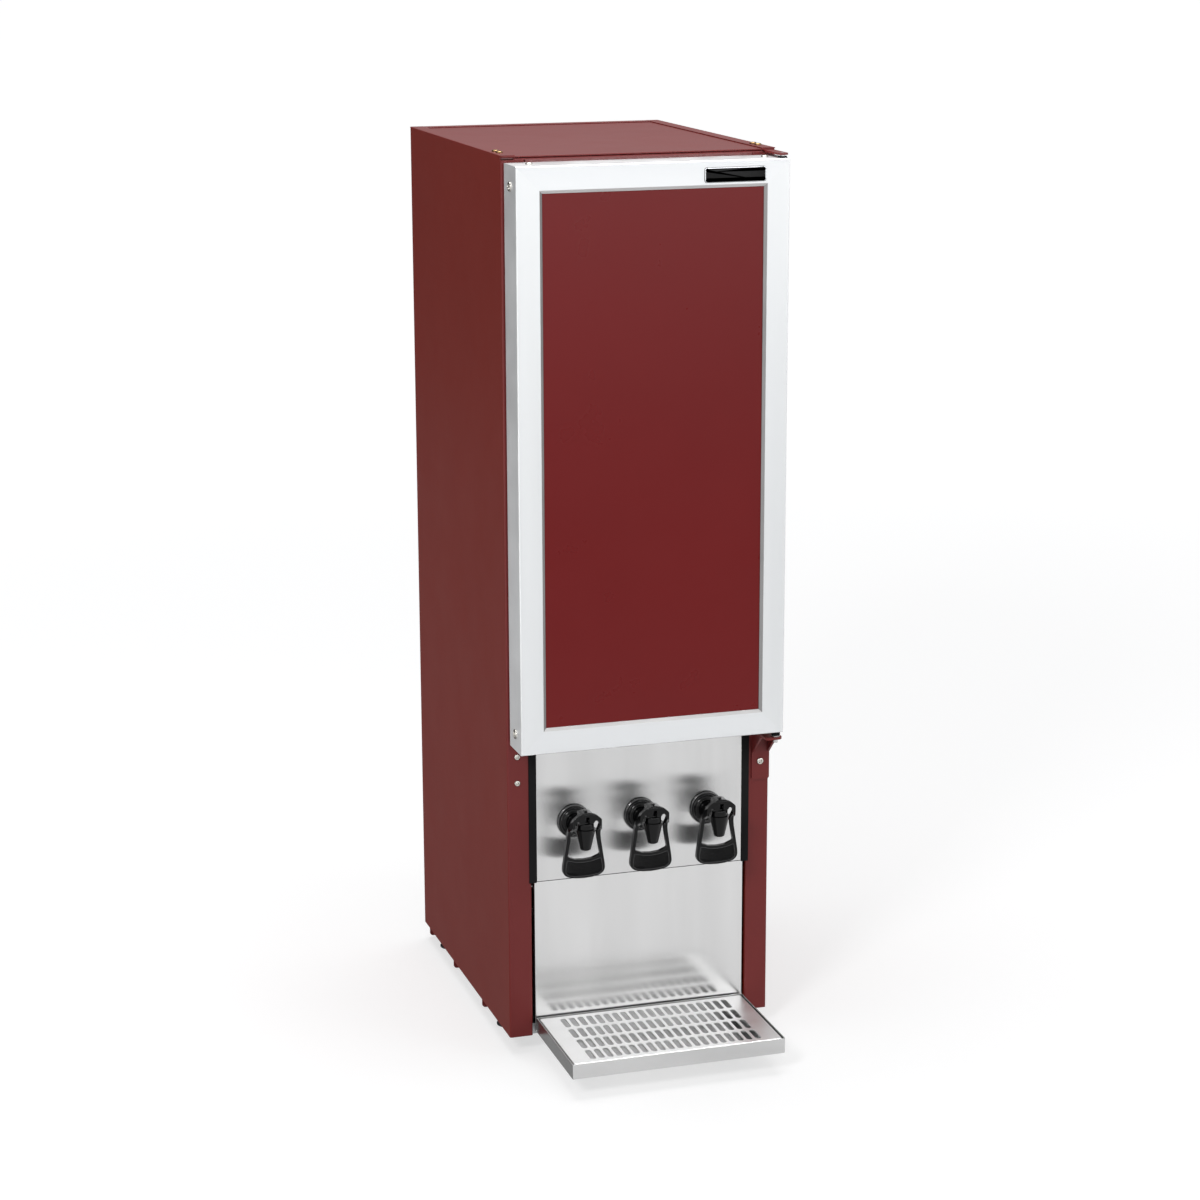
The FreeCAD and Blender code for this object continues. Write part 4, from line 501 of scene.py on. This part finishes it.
def softEdged(node, width, finish=None, segments=2, mark=None, edgeIndex=0):
    # the sheet or moulding of a node with its edges broken by a small round
    bm = shapeOf(node)
    sharp = math.radians(30)
    edges = [edge for edge in bm.edges if edge.is_manifold and edge.calc_face_angle(0) > sharp]
    rounds = bmesh.ops.bevel(bm, geom=edges, offset=width / 1000, offset_type="OFFSET", segments=segments,
                             profile=0.5, affect="EDGES", clamp_overlap=True, material=-1)["faces"]
    for face in rounds:
        face.material_index = edgeIndex
    bmesh.ops.remove_doubles(bm, verts=bm.verts, dist=1e-6)
    if mark:
        mark(bm)
    keep(bm, node + "Shaped", bodyOf(node), finish or nodeFinish[node], [node], inFrame=True)


def turned(profile, steps, closed=False):
    # a round form about the z axis from points of radius and height
    bm = bmesh.new()
    points = [bm.verts.new((radius, 0, height)) for radius, height in profile]
    edges = [bm.edges.new(pair) for pair in zip(points, points[1:])]
    if closed:
        edges.append(bm.edges.new((points[-1], points[0])))
    bmesh.ops.spin(bm, geom=points + edges, cent=(0, 0, 0), axis=(0, 0, 1), angle=math.tau, steps=steps,
                   use_merge=True)
    bmesh.ops.remove_doubles(bm, verts=bm.verts, dist=0.0005)
    bmesh.ops.recalc_face_normals(bm, faces=bm.faces)
    return bm


def aim(bm, place, way, turn=0):
    # the z axis of a form turned to point a way, and the form brought to its place
    spin = Matrix.Rotation(math.radians(turn), 4, "Z")
    turning = Vector(way).to_track_quat("Z", "Y").to_matrix().to_4x4()
    bmesh.ops.transform(bm, matrix=Matrix.Translation(place) @ turning @ spin, verts=bm.verts)
    return bm


def gather(parts):
    # several forms in one mesh
    whole = bmesh.new()
    for part in parts:
        mesh = bpy.data.meshes.new("part")
        part.to_mesh(mesh)
        part.free()
        whole.from_mesh(mesh)
        bpy.data.meshes.remove(mesh)
    return whole


# Sheets and mouldings with plain finishes, and the round on their edges in mm.
softRounds = {
    "top_panel": 0.35, "front_header": 0.3, "lower_hinge_bracket": 0.35, "top_hinge_plate": 0.3,
    "door_panel": 0.1, "breaker_strips": 0.3, "drip_tray": 0.3, "drip_grille": 0.2, "base_cross_ribs": 0.3,
    "door_inner_panel": 0.8, "rear_panel": 0.25, "rear_grille": 0.2, "fan_shroud": 0.5,
    "thermostat_housing": 0.8, "hinge_pins": 0.25, "door_bushes": 0.25, "shelf_runners": 0.3,
    "tap_body_left": 0.35, "tap_body_middle": 0.35, "tap_body_right": 0.35, "tap_bonnets": 0.3}
splashRound, sideRound = 0.25, 0.35

for name, width in softRounds.items():
    softEdged(name, width)
softEdged("splash_panel", splashRound, mark=grainMap)


def markSideShade(bm):
    # the broad faces of a side panel take a darker, warmer copy of the cabinet paint with less shine: painted
    # shade
    for face in bm.faces:
        if abs(face.normal.x) > 0.9:
            face.material_index = 1


# the side panels' broad faces get the darker copy of the paint as painted shade
for side in ("left", "right"):
    softEdged("side_panel_" + side, sideRound, ["cabinetPaint", "sidePaintedShade"], mark=markSideShade)
print("edges rounded:", len(softRounds) + 3)

# Painted shadow: a band 0.9 mm high along the foot of the tap panel's front takes a dark finish, standing in
# for the shade in the gap above the splash panel.
tapSheet = {"round": 0.2, "low": 187.0, "paintedShadowLine": 0.9}


def markPaintedShadowLine(bm):
    grainMap(bm)
    level = toFrame @ Vector((0, 0, tapSheet["low"] + tapSheet["paintedShadowLine"]))
    bmesh.ops.bisect_plane(bm, geom=bm.verts[:] + bm.edges[:] + bm.faces[:], dist=1e-6, plane_co=level,
                           plane_no=(0, 0, 1))
    for face in bm.faces:
        if face.calc_center_median().z < level.z:
            face.material_index = 1


softEdged("tap_panel", tapSheet["round"], ["tapSteel", "paintedShadowLine"], mark=markPaintedShadowLine)

# The door frame is one anodised aluminium, painted in lit and shaded copies: the rails' outer edge faces
# darker and more metallic as painted shade, the stiles' outer edge faces lighter as painted light, and the
# inner bead darker than the face as painted shade, much darker on the stiles than on the rails.
doorFrame = {"halfWidth": 155.4, "low": 355.0, "high": 1006.0, "beadFrom": 26.2, "round": 0.35}


def markFrame(upright):
    fromFrame = toFrame.inverted()

    def mark(bm):
        for face in bm.faces:
            centre = fromFrame @ face.calc_center_median()
            if upright:
                fromEdge = doorFrame["halfWidth"] - abs(centre.x)
            else:
                fromEdge = min(centre.z - doorFrame["low"], doorFrame["high"] - centre.z)
            if fromEdge > doorFrame["beadFrom"]:
                face.material_index = 2
            elif face.normal.y > -0.9:
                face.material_index = 1
    return mark


softEdged("door_stiles", doorFrame["round"], ["uprightAluminium", "sideAluminiumLit", "uprightBeadShaded"],
          mark=markFrame(True))
softEdged("door_rails", doorFrame["round"], ["crossAluminium", "edgeAluminiumShaded", "crossBeadShaded"],
          mark=markFrame(False))
print("door frame shaped")

# Badge: a bare domed plate with a band of polished metal round its field, a painted highlight that stands in
# for the gloss along the dome's edge. Edge and field are given as insets and rises.
badge = {"x": (56.4, 127.4), "z": (982.2, 998.7), "front": -52.5, "corner": 2.5, "wall": 0.75,
         "edge": (0.3, 0.25), "rim": 0.8, "field": [(0.25, -0.3), (0.5, 0.12), (1.2, 0.16), (2.0, 0.1)]}


def makeBadge():
    bm = bmesh.new()
    bmesh.ops.create_grid(bm, x_segments=1, y_segments=1, size=0.5)
    width, height = badge["x"][1] - badge["x"][0], badge["z"][1] - badge["z"][0]
    bmesh.ops.scale(bm, verts=bm.verts, vec=(width, height, 1))
    bmesh.ops.bevel(bm, geom=bm.verts[:], offset=badge["corner"], offset_type="OFFSET", segments=6,
                    profile=0.5, affect="VERTICES", material=-1)
    field = list(bm.faces)[0]
    base = bmesh.ops.extrude_face_region(bm, geom=[field])["geom"]
    bmesh.ops.translate(bm, verts=[item for item in base if isinstance(item, bmesh.types.BMVert)],
                        vec=(0, 0, badge["wall"]))
    field = [item for item in base if isinstance(item, bmesh.types.BMFace)][0]
    bmesh.ops.inset_individual(bm, faces=[field], thickness=badge["edge"][0], depth=badge["edge"][1])
    rim = bmesh.ops.inset_individual(bm, faces=[field], thickness=badge["rim"], depth=0)["faces"]
    for face in rim:
        face.material_index = 1
    for inward, upward in badge["field"]:
        bmesh.ops.inset_individual(bm, faces=[field], thickness=inward, depth=upward)
    bmesh.ops.recalc_face_normals(bm, faces=bm.faces)
    middle = (sum(badge["x"]) / 2, badge["front"], sum(badge["z"]) / 2)
    bmesh.ops.rotate(bm, verts=bm.verts, matrix=Matrix.Rotation(math.radians(90), 3, "X"))
    bmesh.ops.translate(bm, verts=bm.verts, vec=middle)
    keep(bm, "badge", "door", ["badgeGloss", "badgeRimHighlight"], ["badge_plate"], sharpAt=50)


makeBadge()
print("badge made")

# Screws: pan heads with a cross recess, all of them with their threaded shank in the sheet.
# The crown is given as shares of the head's radius and height, and the recess as shares of its radius.
screws = {"height": 2.0, "foot": 0.1, "brim": 0.25,
          "crown": [(1, 0.42), (0.96, 0.66), (0.86, 0.86), (0.72, 0.98)],
          "recessArm": 0.56, "recessHalf": 0.17, "recessDepth": 1.1, "recessFloor": 0.72,
          "shank": 2.0, "length": 5.0, "point": 0.8, "threads": 4, "threadFrom": 1.2, "threadDepth": 0.35,
          "flank": 0.45, "pitch": 0.95}


def crossScrew(radius, place, way, turn):
    top = screws["height"]
    shank, length = screws["shank"], screws["length"]
    stem = [(0, -length), (screws["point"], -length)]
    for step in range(screws["threads"]):
        root = screws["threadFrom"] - length + step * screws["pitch"]
        stem += [(shank - screws["threadDepth"], root), (shank, root + screws["flank"])]
    head = [(radius - screws["foot"], 0), (radius, screws["brim"])]
    head += [(radius * out, top * up) for out, up in screws["crown"]]
    bm = turned(stem + [(shank, -0.05), (shank, 0)] + head, 24)
    rim = [edge for edge in bm.edges if edge.is_boundary]
    arm, half = radius * screws["recessArm"], radius * screws["recessHalf"]
    corners = []
    for quarter in range(4):
        for x, y in ((arm, -half), (arm, half), (half, half)):
            corners.append(Matrix.Rotation(quarter * math.pi / 2, 3, "Z") @ Vector((x, y, top)))
    cross = [bm.verts.new(corner) for corner in corners]
    outline = [bm.edges.new(pair) for pair in zip(cross, cross[1:] + cross[:1])]
    cut = bmesh.ops.subdivide_edges(bm, edges=outline, cuts=1)["geom_split"]
    outline = [item for item in cut if isinstance(item, bmesh.types.BMEdge)]
    bmesh.ops.bridge_loops(bm, edges=rim + outline)
    wall = bmesh.ops.extrude_edge_only(bm, edges=outline)["geom"]
    floor = [item for item in wall if isinstance(item, bmesh.types.BMVert)]
    bmesh.ops.scale(bm, verts=floor, vec=(screws["recessFloor"], screws["recessFloor"], 1))
    bmesh.ops.translate(bm, verts=floor, vec=(0, 0, -screws["recessDepth"]))
    bmesh.ops.holes_fill(bm, edges=[edge for edge in bm.edges if edge.is_boundary], sides=0)
    bmesh.ops.recalc_face_normals(bm, faces=bm.faces)
    return aim(bm, place, way, turn)


# Where they sit. Each stands at its own angle, as driven by hand.
topScrews = {"x": 149.5, "y": (34.0, 50.0), "z": 1013.5, "radius": 4.0}
pillarScrews = {"x": 146.0, "z": (307.3, 338.3), "leftRadius": 3.4, "rightRadius": 4.0, "bracket": -2.5}
doorScrews = {"side": 155.4, "y": -29.0, "sideZ": (374.4, 983.0), "sideRadius": 5.6, "endX": 134.0,
              "endZ": (355.0, 1006.0), "endRadius": 4.0}

made = []
for side in (-1, 1):
    for place, y in enumerate(topScrews["y"]):
        made.append(crossScrew(topScrews["radius"], (side * topScrews["x"], y, topScrews["z"]), (0, 0, 1),
                               20 + 31 * place + 12 * side))
for form in made:
    for face in form.faces:
        face.material_index = 1
for place, z in enumerate(pillarScrews["z"]):
    x = pillarScrews["x"]
    made.append(crossScrew(pillarScrews["leftRadius"], (-x, 0, z), (0, -1, 0), 38 + 20 * place))
    made.append(crossScrew(pillarScrews["rightRadius"], (x, pillarScrews["bracket"], z), (0, -1, 0),
                           52 - 30 * place))
keep(gather(made), "cabinetScrews", "cabinet", ["screwSteel", "screwZinc"], ["cabinet_screws"])

made = []
for side in (-1, 1):
    for place, z in enumerate(doorScrews["sideZ"]):
        made.append(crossScrew(doorScrews["sideRadius"], (side * doorScrews["side"], doorScrews["y"], z),
                               (side, 0, 0), 15 + 40 * place))
    for z, way in zip(doorScrews["endZ"], (-1, 1)):
        made.append(crossScrew(doorScrews["endRadius"], (side * doorScrews["endX"], doorScrews["y"], z),
                               (0, 0, way), 24 * side))
keep(gather(made), "doorScrews", "door", "screwSteel", ["door_screws"])
print("screws made")

# Taps: collars turned with two steps, levers with a knurled pad. Painted highlight: rings near the collars'
# rims, the levers' rounded edges and the pads' raised borders take a lighter, glossier black.
taps = {"places": (-80.0, 0.0, 80.0), "z": 257.0, "panel": -2.2,
        "collar": [(10.56, 0), (19.2, 0), (19.75, 0.4), (19.75, 1.4), (19.35, 2.1), (18.5, 2.6), (17.7, 2.75),
                   (17.2, 2.45), (16.8, 2.5), (16.5, 3.1), (16.1, 4.0), (15.3, 5.0), (14.2, 5.8), (13.1, 6.3),
                   (12.6, 6.3), (12.3, 6.75), (11.6, 7.0), (10.9, 6.95), (10.56, 6.6)],
        "highlightRings": [(18.7, 19.7), (16.2, 17.1)], "highlightFrom": 1.2, "leverRound": 0.85}
grip = {"low": (0.0, 203.0), "high": (0.0, 220.4), "corner": 1.4, "strap": -41.5, "sunk": 0.4,
        "side": [(10.0, 203.5), (17.6, 204.6), (22.0, 208.2), (22.1, 213.0), (21.4, 218.5), (20.3, 224.0),
                 (16.6, 223.2), (10.0, 221.3)],
        "rimWidth": 1.0, "rimRise": 0.7, "rimSlope": 0.28,
        "columns": 25, "rows": 10, "rise": 0.55, "lift": 0.03,
        "halfWidths": [18.0, 20.9, 21.1, 20.9, 20.3, 19.5],
        "lowEdge": (203.9, 0.0052), "highEdge": (219.5, 0.0095)}


def makeCollars():
    rings = [aim(turned(taps["collar"], 56, closed=True), (x, taps["panel"], taps["z"]), (0, -1, 0))
             for x in taps["places"]]
    whole = gather(rings)
    for face in whole.faces:
        centre = face.calc_center_median()
        radius = min(math.hypot(centre.x - x, centre.z - taps["z"]) for x in taps["places"])
        forward = taps["panel"] - centre.y
        if any(low < radius < high and forward > taps["highlightFrom"] for low, high in taps["highlightRings"]):
            face.material_index = 1
    keep(whole, "tapCollars", "cabinet", ["tapPlastic", "tapPaintedHighlight"], ["tap_collars"], sharpAt=40)


def sunkEdges(bm):
    # the open edges of a form drawn back into the lever, and their new ends
    skirt = bmesh.ops.extrude_edge_only(bm, edges=[edge for edge in bm.edges if edge.is_boundary])["geom"]
    bmesh.ops.translate(bm, verts=[item for item in skirt if isinstance(item, bmesh.types.BMVert)],
                        vec=(0, grip["sunk"], 0))
    return [edge for edge in bm.edges if edge.is_boundary]


def gripRim():
    # the raised border of the pad, painted lighter as a highlight
    bm = bmesh.new()
    left = [(-x, z) for x, z in reversed(grip["side"])]
    outline = [grip["low"]] + grip["side"] + [grip["high"]] + left
    corners = [bm.verts.new((x, 0, z)) for x, z in outline]
    bmesh.ops.contextual_create(bm, geom=corners)
    bmesh.ops.bevel(bm, geom=corners, offset=grip["corner"], offset_type="OFFSET", segments=3, profile=0.5,
                    affect="VERTICES", material=-1)
    field = list(bm.faces)[0]
    field.normal_update()
    if field.normal.y > 0:
        field.normal_flip()
    slope, rise = grip["rimSlope"], grip["rimRise"]
    for inward, forward in ((slope, rise), (grip["rimWidth"] - 2 * slope, 0), (slope, -rise)):
        bmesh.ops.inset_individual(bm, faces=[field], thickness=inward, depth=forward)
    bmesh.ops.delete(bm, geom=[field], context="FACES_ONLY")
    bmesh.ops.bridge_loops(bm, edges=sunkEdges(bm))
    bmesh.ops.recalc_face_normals(bm, faces=bm.faces)
    for face in bm.faces:
        face.material_index = 1
    return bm


def gripField():
    # rows of small pyramids that follow the curved edges of the pad
    bm = bmesh.new()
    bmesh.ops.create_grid(bm, x_segments=grip["columns"], y_segments=grip["rows"], size=1)
    spans = len(grip["halfWidths"]) - 1
    for vert in bm.verts:
        up = (vert.co.y + 1) / 2
        span = min(int(up * spans), spans - 1)
        part = up * spans - span
        below, above = grip["halfWidths"][span:span + 2]
        x = vert.co.x * ((1 - part) * below + part * above)
        low, high = [base + curve * x * x for base, curve in (grip["lowEdge"], grip["highEdge"])]
        vert.co = (x, -grip["lift"], low + up * (high - low))
    bm.normal_update()
    bmesh.ops.poke(bm, faces=bm.faces[:], offset=grip["rise"], center_mode="MEAN")
    bmesh.ops.holes_fill(bm, edges=sunkEdges(bm), sides=0)
    bmesh.ops.recalc_face_normals(bm, faces=bm.faces)
    return bm


def gripPad(x):
    bm = gather([gripRim(), gripField()])
    bmesh.ops.translate(bm, verts=bm.verts, vec=(x, grip["strap"], 0))
    return bm


makeCollars()
for name, x in zip(("left", "middle", "right"), taps["places"]):
    # the rounded edges of each lever take the lighter black as a painted highlight
    softEdged("tap_lever_" + name, taps["leverRound"], ["tapPlastic", "tapPaintedHighlight"], segments=3, edgeIndex=1)
    keep(gripPad(x), "gripPad_" + name, "lever_" + name, ["gripPlastic", "tapPaintedHighlight"], sharpAt=20,
         weighted=False)
print("taps made")

# Rear louvres: a curved hood pressed inward behind each slot of the rear grille.
louvres = {"columns": 4, "rows": 9, "firstX": -73.5, "pitchX": 49.0, "firstZ": 30.0, "pitchZ": 14.5,
           "half": 20.4, "start": 408.7, "depth": 3.7, "below": 2.5, "rise": 5.8, "sheet": 0.7}


def louvreHood(x, z):
    bm = bmesh.new()
    bmesh.ops.create_grid(bm, x_segments=1, y_segments=5, size=1)
    for vert in bm.verts:
        swing = (vert.co.y + 1) / 4 * math.pi
        vert.co = (x + vert.co.x * louvres["half"],
                   louvres["start"] - louvres["depth"] * math.sin(swing),
                   z - louvres["below"] + louvres["rise"] * (1 - math.cos(swing)))
    bmesh.ops.solidify(bm, geom=bm.faces[:], thickness=louvres["sheet"])
    bmesh.ops.recalc_face_normals(bm, faces=bm.faces)
    return bm


hoods = []
for column in range(louvres["columns"]):
    for row in range(louvres["rows"]):
        hoods.append(louvreHood(louvres["firstX"] + column * louvres["pitchX"],
                                louvres["firstZ"] + row * louvres["pitchZ"]))
keep(gather(hoods), "rearLouvres", "cabinet", "cabinetPaint", sharpAt=40, weighted=False)
print("rear louvres made")

# Thermostat dial: a fluted knob with a pointer rib and raised figures.
dial = {"place": (20.0, 46.0, 957.0), "steps": 72, "flutes": 24, "fluted": (11.5, 12.5), "fluteDepth": 0.045,
        "profile": [(0, -26), (3.0, -26), (3.0, -15.6), (12.7, -15.6), (13.0, -15.1), (13.0, -13.4),
                    (12.3, -12.7), (12.0, -1.3), (11.6, -0.5), (10.8, 0), (9.9, 0), (9.6, -0.25), (0, -0.25)],
        "rib": (2.6, 19.6, 3.2), "ribTop": 2.5, "ribRound": 0.8,
        "pointer": (0.6, 6.0, 0.4), "pointerPlace": (0, 6.2, 2.38), "pointerRound": 0.15,
        "figures": "01234567", "figureAngles": (-142, -108, -72, -38, 38, 72, 108, 142),
        "figureRadius": 7.3, "figureSize": 3.4, "figureDepth": 0.12, "figureLevel": -0.2}


def figureForm(text, place):
    curve = bpy.data.curves.new("figure", "FONT")
    curve.body = text
    curve.size = dial["figureSize"]
    curve.extrude = dial["figureDepth"]
    curve.align_x, curve.align_y = "CENTER", "CENTER"
    holder = bpy.data.objects.new("figure", curve)
    bpy.context.scene.collection.objects.link(holder)
    mesh = bpy.data.meshes.new_from_object(holder.evaluated_get(bpy.context.evaluated_depsgraph_get()))
    bpy.data.objects.remove(holder)
    bpy.data.curves.remove(curve)
    bm = bmesh.new()
    bm.from_mesh(mesh)
    bpy.data.meshes.remove(mesh)
    bmesh.ops.translate(bm, verts=bm.verts, vec=place)
    return bm


def roundedBar(size, place, width):
    bm = bmesh.new()
    bmesh.ops.create_cube(bm, size=1)
    bmesh.ops.scale(bm, verts=bm.verts, vec=size)
    bmesh.ops.bevel(bm, geom=bm.edges[:], offset=width, offset_type="OFFSET", segments=3, profile=0.5,
                    affect="EDGES", material=-1)
    bmesh.ops.translate(bm, verts=bm.verts, vec=place)
    return bm


def makeDial():
    knob = turned(dial["profile"], dial["steps"])
    low, high = dial["fluted"]
    for vert in knob.verts:
        step = round(math.atan2(vert.co.y, vert.co.x) / math.tau * dial["steps"])
        if low < vert.co.xy.length < high and step % (dial["steps"] // dial["flutes"]) == 0:
            vert.co.xy *= 1 - dial["fluteDepth"]
    prints = [roundedBar(dial["pointer"], dial["pointerPlace"], dial["pointerRound"])]
    for figure, angle in zip(dial["figures"], dial["figureAngles"]):
        swing = math.radians(angle)
        prints.append(figureForm(figure, (dial["figureRadius"] * math.sin(swing),
                                          dial["figureRadius"] * math.cos(swing), dial["figureLevel"])))
    marks = gather(prints)
    for face in marks.faces:
        face.material_index = 1
    rib = roundedBar(dial["rib"], (0, 0, dial["ribTop"] - dial["rib"][2] / 2), dial["ribRound"])
    bm = gather([knob, rib, marks])
    bmesh.ops.rotate(bm, verts=bm.verts, matrix=Matrix.Rotation(math.radians(90), 3, "X"))
    bmesh.ops.translate(bm, verts=bm.verts, vec=dial["place"])
    keep(bm, "thermostatDial", "knob", ["dialPlastic", "dialPrint"], ["thermostat_knob"])


makeDial()
print("dial made")

# Levelling feet: a moulded pad on a threaded stud.
foot = {"x": 135.0, "y": {"front": 95.0, "rear": 368.0}, "base": -22.0,
        "stud": 4.0, "height": 36.0, "neck": 9.0, "pitch": 1.25, "threadDepth": 0.75,
        "tip": [(3.1, 35.4), (2.7, 36.0), (0, 36.0)],
        "pad": [(0, 0.4), (3.0, 0.4), (3.6, 0), (11.9, 0), (12.5, 0.5), (12.5, 2.2), (12.0, 2.8), (10.4, 4.4),
                (8.9, 6.2), (8.0, 7.8), (7.2, 9.0), (3.4, 9.0)]}


def makeFoot(x, y):
    thread, z, pitch = [], foot["neck"], foot["pitch"]
    while z < foot["height"] - 2 * pitch:
        thread += [(foot["stud"] - foot["threadDepth"], z + 0.25 * pitch), (foot["stud"], z + 0.75 * pitch)]
        z += pitch
    bm = turned(foot["pad"] + thread + foot["tip"], 28)
    for face in bm.faces:
        face.material_index = 1 if face.calc_center_median().z > foot["neck"] + 0.02 else 0
    bmesh.ops.translate(bm, verts=bm.verts, vec=(x, y, foot["base"]))
    return bm


for end, y in foot["y"].items():
    for side, x in (("left", -foot["x"]), ("right", foot["x"])):
        corner = end + "_" + side
        keep(makeFoot(x, y), "foot_" + corner + "Shaped", "foot_" + corner, ["footPlastic", "pinSteel"],
             ["levelling_foot_" + corner], sharpAt=30)
print("feet made")
